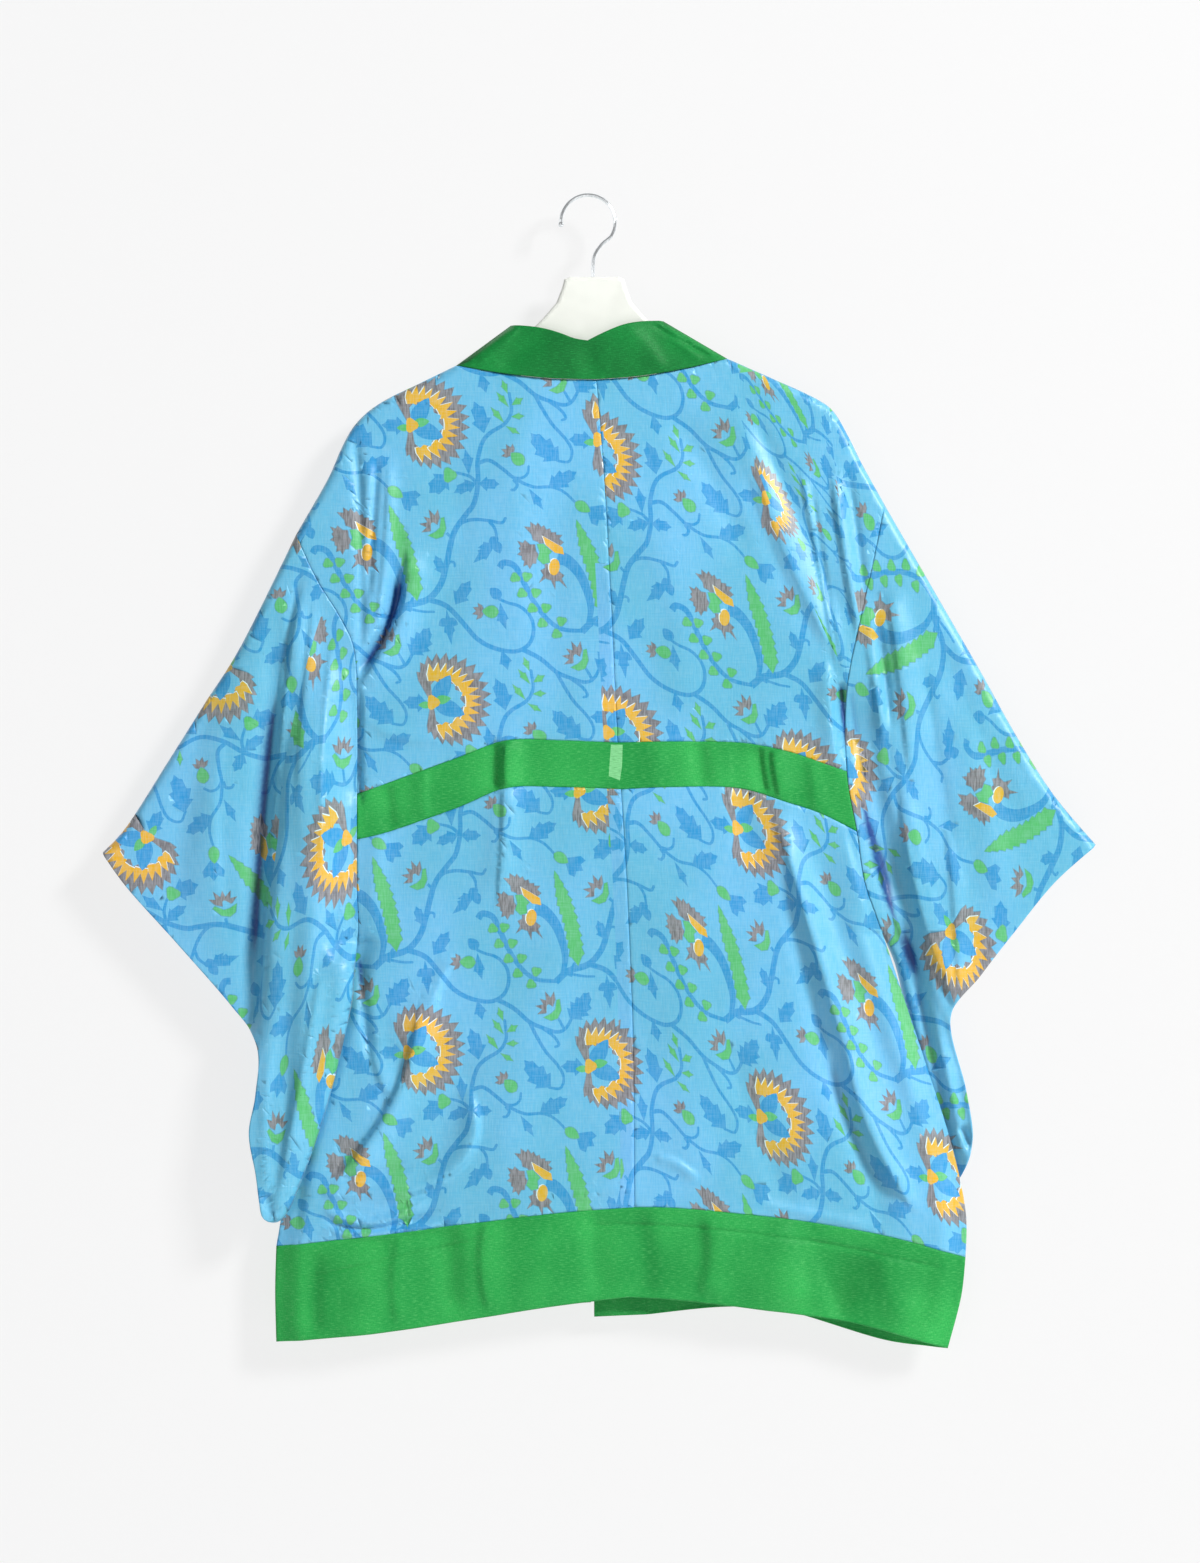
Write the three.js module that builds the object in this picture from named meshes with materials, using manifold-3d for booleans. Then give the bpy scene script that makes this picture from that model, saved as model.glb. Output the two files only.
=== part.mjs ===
// A short silk kimono jacket on a plastic hanger, back side towards -Y.
// Millimetres, +Z up, +X to the right as seen from the back. The origin is the inside top of the
// hanger's hook. Garment places are measured from the hanger's stem, which stands STEM_X beside it.

import * as THREE from "three";
import { mergeVertices } from "three/addons/utils/BufferGeometryUtils.js";
import Module from "manifold-3d";

// ---------------------------------------------------------------- driving sizes

const WALL = 1.5; // cloth wall
const SEAM_GAP = 0.3; // between two sewn pieces
const STEM_X = 3.6; // garment's middle line, to the right of the hook's middle

const FOLD_RADIUS = 6.5; // middle of the wall, round the shoulder fold
const BODY_HALF_DEPTH = 9.5; // middle plane to the wall, clear below the hanger
const SWELL_FROM = -200; // height where the body starts to part below the hanger
const SWELL_OVER = 120; // and the drop over which it does
const FOLDS_FROM = -165; // height where the folds start, under the shoulders
const FOLDS_OVER = 60; // and the drop over which they reach their height
const SEAM_HALF_DEPTH = (WALL + SEAM_GAP) / 2; // two walls face to face at a side seam
const SIDE_SWELL = 26; // distance from a side seam over which the body reaches its depth
const ARMHOLE_CLOSE = 60; // height over which an armhole closes to its lowest point
const NECK_EASE = 2; // the neckline's extra half depth at the middle
const NECK_EASE_OVER = 40; // distance from the neck's corner over which it is reached
const COLLAR_EASE = 0.025; // share of the collar's height that clears the neck's two corners
const COLLAR_EASE_SHARE = 0.1; // part of its length, at each end, over which it does
const COLLAR_LEAN = 4; // the standing collar's top edge, outside the neckline
const COLLAR_LEAN_SHARE = 0.3; // part of its length, at each end, over which it leans out

const SLEEVE_HALF_DEPTH = 9; // middle of the sleeve to its wall
const SLEEVE_WIDTH = 390; // top fold to lower seam, down the armhole
const SLEEVE_ROLL = 16; // distance from the sleeve's lower seam over which it reaches that
const SLEEVE_EASE = 0.5; // the sleeve's start, clear of the armhole
const UNDERARM_EASE = 1.7; // and how far it stands off the underarm's point
const UNDERARM_FROM = 0.75; // share of the armhole where that starts
const UNDERARM_OVER = 0.2; // share over which it is reached
const UNDERARM_REACH = 0.4; // share of the sleeve's length over which it fades
const SLEEVE_SEAM_SHARE = 0.16; // part of the sleeve's length that turns from armhole to sleeve
const SLEEVE_FOLD_SHARE = 0.8; // of a fold's height, on the narrower sleeve
const HANG_FROM = -380; // height where the hanging part starts to stand off
const HANG_OVER = 160; // and the drop over which it does
const HANG_SHIFT = 15; // how far a sleeve's hanging part stands off the body's plane
const SHIFT_BEFORE = 10; // where the shift starts, ahead of the fold line
const SHIFT_OVER = 34; // and the distance across the fold that it takes
const HANG_LIFT = 5; // the extra step at the fold between its flat and its hanging part
const LIFT_BEFORE = 4;
const LIFT_OVER = 12;

const HANGER_THICKNESS = 8;
const HANGER_EDGE_RADIUS = 3.4;
const HANGER_CLEARANCE = 0.47; // cloth's inner face to the top of the hanger's arms
const HANGER_MIDDLE = 2; // the hanger's middle, beside the garment's
const HANGER_ROUND_STEPS = 3;
const ARM_SLOPE = Math.PI / 7;
const ARM_SHARES = [1, 0.9, 0.8, 0.74]; // shares of the shoulder line that the arm follows
const ARM_END_SHARE = 0.66;
const WIRE_RADIUS = 1.9;
const HOOK_RADIUS = 24.4; // middle of the wire
const TIP_RADIUS = 2.8;

const COLOURS = { blue: 0x76c0eb, green: 0x239646, plastic: 0xf2f2f0, chrome: 0xc8ccd0 };

// ---------------------------------------------------------------- tables

// Rows of numbers under named columns.
function table(columns, ...rows) {
  return rows.map((row) => Object.fromEntries(columns.map((name, i) => [name, row[i]])));
}

const xz = (...rows) => table(["x", "z"], ...rows);

// Each half of the garment is read from its side (left or right) to the middle.
const HALVES = {
  left: {
    sign: -1,
    shoulder: xz([-266, -304], [-238, -255], [-225, -226], [-215, -208], [-202, -194], [-184, -182],
      [-159, -170], [-122, -152]),
    neckline: xz([-122, -152], [-83, -159], [-38, -164], [4, -165]),
    side: xz([-266, -304], [-247, -345], [-225, -381], [-213, -412], [-211, -475], [-211, -537], [-211, -578],
      [-211, -622], [-211, -669], [-225, -720], [-251, -800], [-270, -870], [-284, -944]),
    hemSide: xz([-284, -944], [-285, -985], [-284, -1030]),
    underarm: -669,
    waistTop: xz([-211, -537], [-188, -529], [-122, -505], [-77, -489], [-29, -489], [23, -491]),
    waistBottom: xz([-211, -578], [-182, -571], [-122, -550], [-77, -532], [-29, -531], [26, -533]),
    hemTop: xz([-284, -944], [-184, -932], [-104, -922], [-40, -914], [38, -908]),
    hemBottom: xz([-284, -1030], [-184, -1020], [-104, -1008], [-35, -997], [32, -989]),
    frontHemTop: xz([-284, -944], [-184, -935], [-110, -922], [-47, -915]),
    frontHemBottom: xz([-284, -1030], [-184, -1021], [-110, -1008], [-47, -999]),
    frontSeam: xz([-122, -152], [-103, -220], [-82, -300], [-54, -400], [-47, -470], [-47, -700], [-47, -999]),
    frontEdge: xz([-73, -116], [-56, -200], [-34, -300], [-8, -400], [-1, -470], [-1, -700], [-1, -996]),
    sleeveTop: xz([-266, -304], [-315, -403], [-349, -457], [-383, -511], [-418, -566], [-440, -590]),
    cuff: xz([-440, -590], [-416, -623], [-371, -673], [-324, -727], [-299, -763], [-300, -805],
      [-306, -840], [-300, -876], [-297, -905], [-286, -921]),
    sleeveBottom: xz([-211, -669], [-222, -697], [-225, -728], [-237, -797], [-250, -850],
      [-266, -890], [-286, -921]),
    hangFold: xz([-216, -327], [-241, -372], [-261, -443], [-276, -518], [-281, -577], [-292, -657],
      [-300, -730], [-330, -800]),
  },
  right: {
    sign: 1,
    shoulder: xz([263, -277], [243, -241], [229, -213], [216, -192], [198, -180], [165, -165], [122, -146]),
    neckline: xz([122, -146], [84, -155], [43, -162], [4, -165]),
    side: xz([263, -277], [253, -327], [240, -385], [229, -444], [229, -517], [238, -571], [245, -616], [261, -662],
      [283, -728], [301, -782], [323, -851], [336, -912], [336, -954]),
    hemSide: xz([336, -954], [332, -990], [320, -1036]),
    underarm: -662,
    waistTop: xz([229, -517], [206, -509], [176, -499], [133, -491], [72, -490], [23, -491]),
    waistBottom: xz([238, -571], [206, -555], [176, -545], [131, -532], [72, -531], [26, -533]),
    hemTop: xz([336, -954], [265, -934], [173, -918], [81, -909], [38, -908]),
    hemBottom: xz([320, -1036], [242, -1014], [177, -1003], [81, -992], [32, -989]),
    frontHemTop: xz([336, -954], [265, -944], [176, -920], [120, -915], [49, -922]),
    frontHemBottom: xz([320, -1036], [265, -1030], [176, -1004], [120, -1000], [49, -1007]),
    frontSeam: xz([122, -146], [104, -220], [84, -300], [56, -400], [49, -470], [49, -700], [49, -1007]),
    frontEdge: xz([64, -112], [52, -200], [32, -300], [9, -400], [2, -470], [2, -700], [2, -1009]),
    sleeveTop: xz([263, -277], [320, -376], [351, -430], [381, -484], [415, -538], [453, -583]),
    cuff: xz([453, -583], [415, -617], [380, -660], [349, -700], [322, -738], [336, -801], [342, -850],
      [331, -886]),
    sleeveBottom: xz([261, -662], [274, -690], [283, -728], [296, -782], [314, -840], [331, -886]),
    hangFold: xz([229, -321], [237, -362], [252, -418], [259, -463], [270, -525], [289, -600],
      [304, -662], [317, -720], [350, -785]),
  },
};
const CENTRE_SEAM = xz([4, -165], [11, -255], [17, -363], [23, -491], [26, -533], [32, -633], [37, -768], [38, -908]);
const COLLAR_TOP = xz([-73, -116], [-40, -119], [-4, -130], [30, -118], [64, -112]);

// Folds, each a soft ridge (or a trough where rise is negative) through three points.
const FOLD_COLUMNS = ["x0", "z0", "x1", "z1", "x2", "z2", "rise", "width"];
const BACK_FOLDS = table(FOLD_COLUMNS,
  [-193, -242, -197, -299, -203, -392, 3, 10],
  [-167, -333, -176, -368, -188, -420, -2.5, 9],
  [125, -175, 162, -285, 216, -410, 3.5, 11],
  [140, -185, 186, -290, 224, -380, -2.5, 8],
  [-77, -485, -77, -532, -90, -640, 3, 12],
  [138, -485, 134, -540, 150, -600, -2.5, 13],
  [160, -560, 211, -708, 282, -916, 5, 15],
  [190, -720, 236, -840, 262, -930, -2.5, 12],
  [-146, -709, -175, -800, -219, -885, 4, 14],
  [-110, -760, -134, -840, -160, -930, -2.5, 16],
  [-200, -940, -205, -990, -210, -1030, 4, 24],
  [-60, -880, -50, -950, -45, -1000, 3, 30],
  [120, -900, 150, -960, 170, -1005, 4.5, 26],
  [240, -950, 232, -985, 225, -1015, -3, 20]);
const FRONT_FOLDS = table(FOLD_COLUMNS,
  [-195, -245, -198, -300, -204, -392, 3, 10],
  [210, -225, 222, -290, 226, -400, 3, 10],
  [-120, -210, -140, -320, -180, -440, 3, 12],
  [126, -210, 150, -330, 190, -440, 3, 12],
  [-90, -560, -110, -720, -150, -930, 3.5, 20],
  [110, -540, 150, -720, 215, -935, 4, 20],
  [-180, -700, -205, -800, -235, -925, 3, 14],
  [-170, -930, -180, -990, -190, -1025, 3.5, 26],
  [150, -915, 170, -960, 190, -1010, 4, 26]);
const SLEEVE_FOLDS = table(FOLD_COLUMNS,
  [-243, -335, -272, -395, -292, -470, 3, 10],
  [-300, -420, -330, -520, -352, -640, 2.5, 16],
  [-228, -470, -236, -600, -246, -735, -3, 9],
  [-262, -560, -270, -680, -276, -830, -3.5, 9],
  [-248, -640, -258, -760, -270, -870, 3, 8],
  [262, -340, 285, -420, 300, -500, 3, 10],
  [330, -440, 350, -540, 366, -640, 2.5, 16],
  [246, -470, 258, -570, 272, -640, -3, 8],
  [258, -571, 291, -662, 307, -754, -3.5, 9],
  [296, -690, 315, -770, 330, -850, 3, 8]);

// Half of the hanger's outline, from its middle. out is along the arm, down from the origin.
const HANGER_COLUMNS = ["out", "down"];
const HANGER_NECK = table(HANGER_COLUMNS, [22, 72], [27, 74], [29, 82], [34, 95], [46, 109], [60, 123], [88, 141]);
const HANGER_UNDERSIDE = table(HANGER_COLUMNS, [186, 206], [150, 194], [100, 170], [50, 146], [0, 138]);
const ARM_END = table(["in", "down"], [4, 5], [5, 14]); // from the shoulder line where the arm ends

// The wire's stem, from inside the hanger up to where the hook's round part starts.
const HOOK_STEM = table(["x", "z"], [4.6, -71.7], [4.6, -62], [6.1, -52], [12.6, -42.5]);
const HOOK_ARC = { from: -32, to: 182, points: 22 }; // degrees round the hook's middle
const WIRE_SIDES = 10;
const WIRE_STEPS = 44;
const TIP_DROP = 2; // the ball tip, below the end of the wire

// ---------------------------------------------------------------- small helpers

const LINE_DIVISIONS = 600;
const LINE_SAMPLES = 240;
const HALVINGS = 50;

const clamp = (value, low, high) => Math.min(high, Math.max(low, value));
const mix = (a, b, share) => a + (b - a) * share;
const smooth = (t) => { const c = clamp(t, 0, 1); return c * c * (3 - 2 * c); };
const round = (t) => Math.sqrt(1 - (1 - clamp(t, 0, 1)) ** 2); // quarter circle, 0 to 1

// A smooth line through a table's points, read by the share of its length.
function edge(rows) {
  const curve = new THREE.SplineCurve(rows.map((row) => new THREE.Vector2(row.x, row.z)));
  curve.arcLengthDivisions = LINE_DIVISIONS;
  return (share) => curve.getPointAt(clamp(share, 0, 1));
}

const part = (line, from, to) => (share) => line(mix(from, to, share));
const backwards = (line) => (share) => line(1 - share);
const joined = (first, second, share) => (t) =>
  (t <= share ? first(t / share) : second((t - share) / (1 - share)));

// The share of a line's length at which it comes down to a height.
function shareAt(line, height) {
  let [low, high] = [0, 1];
  for (let step = 0; step < HALVINGS; step++) {
    const middle = (low + high) / 2;
    if (line(middle).y > height) low = middle;
    else high = middle;
  }
  return low;
}

// A line's x at a height, for a line that only goes down.
function acrossAt(line) {
  const samples = Array.from({ length: LINE_SAMPLES + 1 }, (_, i) => line(i / LINE_SAMPLES));
  return (z) => {
    if (z >= samples[0].y) return samples[0].x;
    const i = samples.findIndex((sample) => sample.y <= z);
    if (i < 0) return samples[LINE_SAMPLES].x;
    const [a, b] = [samples[i - 1], samples[i]];
    return mix(a.x, b.x, (z - a.y) / (b.y - a.y));
  };
}

// The flat patch inside four lines: u runs from left to right, v from top to bottom.
function patch(top, bottom, left, right) {
  const corners = [top(0), top(1), bottom(0), bottom(1)];
  return (u, v) => {
    const [t, b, l, r] = [top(u), bottom(u), left(v), right(v)];
    const blend = (axis) => mix(t[axis], b[axis], v) + mix(l[axis], r[axis], u)
      - mix(mix(corners[0][axis], corners[1][axis], u), mix(corners[2][axis], corners[3][axis], u), v);
    return { x: blend("x"), z: blend("y") };
  };
}

function distanceToSegment(x, z, ax, az, bx, bz) {
  const [dx, dz] = [bx - ax, bz - az];
  const share = clamp(((x - ax) * dx + (z - az) * dz) / (dx * dx + dz * dz), 0, 1);
  return Math.hypot(x - ax - share * dx, z - az - share * dz);
}

function foldsAt(folds, x, z) {
  return folds.reduce((sum, f) => {
    const distance = Math.min(distanceToSegment(x, z, f.x0, f.z0, f.x1, f.z1),
      distanceToSegment(x, z, f.x1, f.z1, f.x2, f.z2));
    return sum + f.rise * Math.exp(-((distance / f.width) ** 2));
  }, 0);
}

// ---------------------------------------------------------------- cloth walls

const STEP = 1e-6;

// Place, outward direction and the way in from the rim of one station of a surface.
function station(surface, u, v, rims, startGap) {
  const du = u < 0.5 ? STEP : -STEP;
  const dv = v < 0.5 ? STEP : -STEP;
  const place = surface(u, v);
  const alongU = surface(u + du, v).sub(place).divideScalar(du).normalize();
  const alongV = surface(u, v + dv).sub(place).divideScalar(dv).normalize();
  const out = alongU.clone().cross(alongV).normalize();
  if (rims.includes("start") && u === 0) place.addScaledVector(alongU, startGap);
  if (rims.includes("end") && u === 1) place.addScaledVector(alongU, -SEAM_GAP / 2);
  if (rims.includes("top") && v === 0) place.addScaledVector(alongV, SEAM_GAP / 2);
  if (rims.includes("bottom") && v === 1) place.addScaledVector(alongV, -SEAM_GAP / 2);
  return { place, out };
}

// A closed wall on both sides of a surface. rims names the edges that meet another piece.
function wall(surface, us, vs, { rims = [], startGap = SEAM_GAP / 2 } = {}) {
  const stations = us.map((u) => vs.map((v) => station(surface, u, v, rims, startGap)));
  const [nu, nv] = [us.length, vs.length];
  const vertices = [WALL / 2, -WALL / 2].flatMap((offset) => stations.flat()
    .flatMap(({ place, out }) => place.clone().addScaledVector(out, offset).toArray()));
  const at = (layer, i, j) => layer * nu * nv + i * nv + j;
  const faces = [];
  const quad = (a, b, c, d) => faces.push(a, b, c, a, c, d);
  for (let i = 0; i < nu - 1; i++) {
    for (let j = 0; j < nv - 1; j++) {
      quad(at(0, i, j), at(0, i + 1, j), at(0, i + 1, j + 1), at(0, i, j + 1));
      quad(at(1, i, j), at(1, i, j + 1), at(1, i + 1, j + 1), at(1, i + 1, j));
    }
    quad(at(0, i, 0), at(1, i, 0), at(1, i + 1, 0), at(0, i + 1, 0));
    quad(at(0, i, nv - 1), at(0, i + 1, nv - 1), at(1, i + 1, nv - 1), at(1, i, nv - 1));
  }
  for (let j = 0; j < nv - 1; j++) {
    quad(at(0, 0, j), at(0, 0, j + 1), at(1, 0, j + 1), at(1, 0, j));
    quad(at(0, nu - 1, j), at(1, nu - 1, j), at(1, nu - 1, j + 1), at(0, nu - 1, j + 1));
  }
  return solidFrom(vertices, faces);
}

// A geometry whose faces point out, whichever way its surface was read.
function solidFrom(vertices, faces) {
  const corner = (k) => new THREE.Vector3().fromArray(vertices, faces[k] * 3);
  let volume = 0;
  for (let k = 0; k < faces.length; k += 3) volume += corner(k).dot(corner(k + 1).cross(corner(k + 2)));
  if (volume < 0) {
    for (let k = 0; k < faces.length; k += 3) [faces[k], faces[k + 1]] = [faces[k + 1], faces[k]];
  }
  const geometry = new THREE.BufferGeometry();
  geometry.setAttribute("position", new THREE.Float32BufferAttribute(vertices, 3));
  geometry.setIndex(faces);
  return geometry;
}

// ---------------------------------------------------------------- rows and columns of the walls

const ROLL_ANGLES = [0, 30, 60, 90].map((angle) => THREE.MathUtils.degToRad(angle));
const SIDE_COLUMNS = [0, 0.02, 0.05, 0.085];
const SHOULDER_COLUMNS = [...SIDE_COLUMNS, 0.13, 0.19, 0.25, 0.3, 0.35, 0.41, 0.48];
const SHOULDER_SHARE = 0.55; // the column where the shoulder meets the neckline
const NECK_COLUMNS = [0, 0.012, 0.035, 0.08, 0.15, 0.25, 0.4, 0.55, 0.7, 0.85, 1]; // close at the neck's corner
const LOW_NECK_COLUMNS = [0, 0.08, 0.25, 0.4, 0.55, 0.7, 0.85, 1];
const underNeck = (shares) => shares.map((share) => mix(SHOULDER_SHARE, 1, share));
const UPPER_COLUMNS = [...SHOULDER_COLUMNS, ...underNeck(NECK_COLUMNS)];
const LOWER_COLUMNS = [...SHOULDER_COLUMNS, ...underNeck(LOW_NECK_COLUMNS)];
const BAND_COLUMNS = [0, 0.33, 0.67, 1];
const FRONT_COLUMNS = [...SIDE_COLUMNS, 0.15, 0.24, 0.34, 0.45, 0.58, 0.72, 0.86, 1];
const UPPER_ROWS = 9;
const BAND_ROWS = 2;
const ARMHOLE_ROWS = 3;
const LOWER_ROWS = 8;
const HEM_ROWS = 3;
const COLLAR_ROWS = 4;
const ALL_RIMS = ["start", "end", "top", "bottom"];
const HEM_RIMS = ["start", "end", "top"]; // the lower edge is free

const even = (count, from = 0, to = 1) => Array.from({ length: count + 1 }, (_, i) => mix(from, to, i / count));
const bothHalves = (columns) => [...columns.map((u) => u / 2),
  ...columns.slice(0, -1).reverse().map((u) => 1 - u / 2)];

// ---------------------------------------------------------------- the body's form

for (const half of Object.values(HALVES)) {
  const side = edge(half.side);
  half.sideLine = side;
  half.waistFrom = shareAt(side, half.waistTop[0].z);
  half.waistTo = shareAt(side, half.waistBottom[0].z);
  half.underarmAt = shareAt(side, half.underarm);
  const sideX = acrossAt(side);
  const hemX = acrossAt(edge(half.hemSide));
  half.sideAt = (z) => (z > half.side[half.side.length - 1].z ? sideX(z) : hemX(z));
}

// Half the body's depth at a place of its back (facing 1) or its fronts (facing -1).
function bodyHalfDepth(half, folds, x, z) {
  const swell = smooth((SWELL_FROM - z) / SWELL_OVER);
  const full = mix(FOLD_RADIUS, BODY_HALF_DEPTH, swell) + foldsAt(folds, x, z) * smooth((FOLDS_FROM - z) / FOLDS_OVER);
  if (z > half.side[0].z) return full;
  const atSeam = mix(SEAM_HALF_DEPTH, full, round((z - half.underarm) / ARMHOLE_CLOSE));
  const inside = Math.max(0, half.sign * (half.sideAt(z) - x));
  return mix(atSeam, full, smooth(inside / SIDE_SWELL));
}

// Half the neck's depth: closed where the collar turns over to the front, from the neck's corner
// up to the collar's top corner, and open between.
function neckHalfDepth(half, x, z) {
  const [corner, top] = [half.frontSeam[0], half.frontEdge[0]];
  const along = new THREE.Vector2(top.x - corner.x, top.z - corner.z).normalize();
  const inside = -half.sign * ((x - corner.x) * along.y - (z - corner.z) * along.x);
  return FOLD_RADIUS * round(inside / FOLD_RADIUS) + NECK_EASE * smooth(inside / NECK_EASE_OVER);
}

function bodySurface(half, flat, facing, { rollLength = 0, neckFrom = 1 } = {}) {
  const folds = facing > 0 ? BACK_FOLDS : FRONT_FOLDS;
  return (u, v) => {
    const { x, z } = flat(u, v);
    let depth = bodyHalfDepth(half, folds, x, z);
    if (rollLength && v * rollLength < FOLD_RADIUS) {
      const turned = Math.sin(Math.acos(clamp(1 - (v * rollLength) / FOLD_RADIUS, 0, 1)));
      const top = u > neckFrom ? neckHalfDepth(half, x, z) : 0;
      depth = mix(Math.min(top, depth), depth, turned);
    }
    return new THREE.Vector3(x, -facing * depth, z);
  };
}

const rollRows = (length, count) => {
  const turned = ROLL_ANGLES.map((angle) => (FOLD_RADIUS * (1 - Math.cos(angle))) / length);
  return [...turned, ...even(count, turned[turned.length - 1], 1).slice(1)];
};

const centre = edge(CENTRE_SEAM);
const centreWaist = {
  from: shareAt(centre, HALVES.left.waistTop.at(-1).z),
  to: shareAt(centre, HALVES.left.waistBottom.at(-1).z),
};

// ---------------------------------------------------------------- pieces of the back

const UPPER_LENGTH = 254; // of the armhole and side above the waist band
const upperRows = rollRows(UPPER_LENGTH, UPPER_ROWS);

function backUpper(half) {
  const top = joined(edge(half.shoulder), edge(half.neckline), SHOULDER_SHARE);
  const flat = patch(top, edge(half.waistTop), part(half.sideLine, 0, half.waistFrom),
    part(centre, 0, centreWaist.from));
  const surface = bodySurface(half, flat, 1, { rollLength: UPPER_LENGTH, neckFrom: SHOULDER_SHARE });
  return wall(surface, UPPER_COLUMNS, upperRows, { rims: ALL_RIMS });
}

// The rows of the lower back come to the underarm first, then to the hem band.
function lowerRows(half) {
  const split = (half.underarmAt - half.waistTo) / (1 - half.waistTo);
  return [...even(ARMHOLE_ROWS, 0, split), ...even(LOWER_ROWS, split, 1).slice(1)];
}

function backLower(half) {
  const flat = patch(edge(half.waistBottom), edge(half.hemTop), part(half.sideLine, half.waistTo, 1),
    part(centre, centreWaist.to, 1));
  return wall(bodySurface(half, flat, 1), LOWER_COLUMNS, lowerRows(half), { rims: ALL_RIMS });
}

// A band right across the back, from side to side.
function backBand(topName, bottomName, sideOf, rows, rims) {
  const across = (name) => joined(edge(HALVES.left[name]), backwards(edge(HALVES.right[name])), 0.5);
  const flat = patch(across(topName), across(bottomName), sideOf(HALVES.left), sideOf(HALVES.right));
  const [left, right] = [HALVES.left, HALVES.right].map((half) => bodySurface(half, flat, 1));
  return wall((u, v) => (u < 0.5 ? left(u, v) : right(u, v)), bothHalves(LOWER_COLUMNS), even(rows), { rims });
}

// ---------------------------------------------------------------- pieces of the fronts

// Rows of a front follow the back's on the side seam, so that one sleeve fits both.
function sideShares(half) {
  return [...upperRows.map((v) => v * half.waistFrom),
    ...even(BAND_ROWS, half.waistFrom, half.waistTo).slice(1),
    ...lowerRows(half).slice(1).map((v) => mix(half.waistTo, 1, v))];
}

function frontSeamTo(half) {
  return shareAt(edge(half.frontSeam), half.frontHemTop[half.frontHemTop.length - 1].z);
}

function front(half) {
  const flat = patch(edge(half.shoulder), edge(half.frontHemTop), half.sideLine,
    part(edge(half.frontSeam), 0, frontSeamTo(half)));
  const surface = bodySurface(half, flat, -1, { rollLength: UPPER_LENGTH / half.waistFrom });
  return wall(surface, FRONT_COLUMNS, sideShares(half), { rims: ALL_RIMS });
}

function frontHem(half) {
  const flat = patch(edge(half.frontHemTop), edge(half.frontHemBottom), edge(half.hemSide),
    part(edge(half.frontSeam), frontSeamTo(half), 1));
  return wall(bodySurface(half, flat, -1), FRONT_COLUMNS, even(HEM_ROWS), { rims: HEM_RIMS });
}

// The band down a front edge turns over at the neck, where the collar starts. Its rows are the
// front's and then the front hem's.
function frontBand(half) {
  const [seam, outer] = [edge(half.frontSeam), edge(half.frontEdge)];
  const across = (share) => (t) => seam(share).clone().lerp(outer(share), t);
  const flat = patch(across(0), across(1), seam, outer);
  const hemAt = frontSeamTo(half);
  const surface = bodySurface(half, flat, -1, { rollLength: UPPER_LENGTH / half.waistFrom / hemAt });
  const rows = [...sideShares(half).map((v) => v * hemAt), ...even(HEM_ROWS, hemAt, 1).slice(1)];
  return wall(surface, BAND_COLUMNS, rows, { rims: HEM_RIMS });
}

// ---------------------------------------------------------------- collar

// The standing part of the collar, round the back of the neck from fold to fold.
function collar() {
  const { left, right } = HALVES;
  const neckline = joined(edge(left.neckline), backwards(edge(right.neckline)), 0.5);
  const top = edge(COLLAR_TOP);
  const end = (u) => (t) => top(u).clone().lerp(neckline(u), t);
  const flat = patch(top, neckline, end(0), end(1));
  const surface = (u, v) => {
    const { x, z } = flat(u, v * (1 - COLLAR_EASE * (1 - smooth(Math.min(u, 1 - u) / COLLAR_EASE_SHARE))));
    const half = u < 0.5 ? left : right;
    const lean = COLLAR_LEAN * smooth(Math.min(u, 1 - u) / COLLAR_LEAN_SHARE) * (1 - v);
    return new THREE.Vector3(x, -neckHalfDepth(half, x, z) - lean, z);
  };
  return wall(surface, bothHalves(NECK_COLUMNS), even(COLLAR_ROWS), { rims: ["start", "end", "bottom"] });
}

// ---------------------------------------------------------------- sleeves

const SLEEVE_COLUMNS = [0, 0.04, 0.1, 0.17, 0.25, 0.34, 0.44, 0.54, 0.64, 0.74, 0.83, 0.92, 1];

// Stations of the armhole from the shoulder fold to the underarm, as the body's pieces have them.
function armhole(half) {
  return sideShares(half).filter((share) => share <= half.underarmAt + 1e-6);
}

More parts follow.
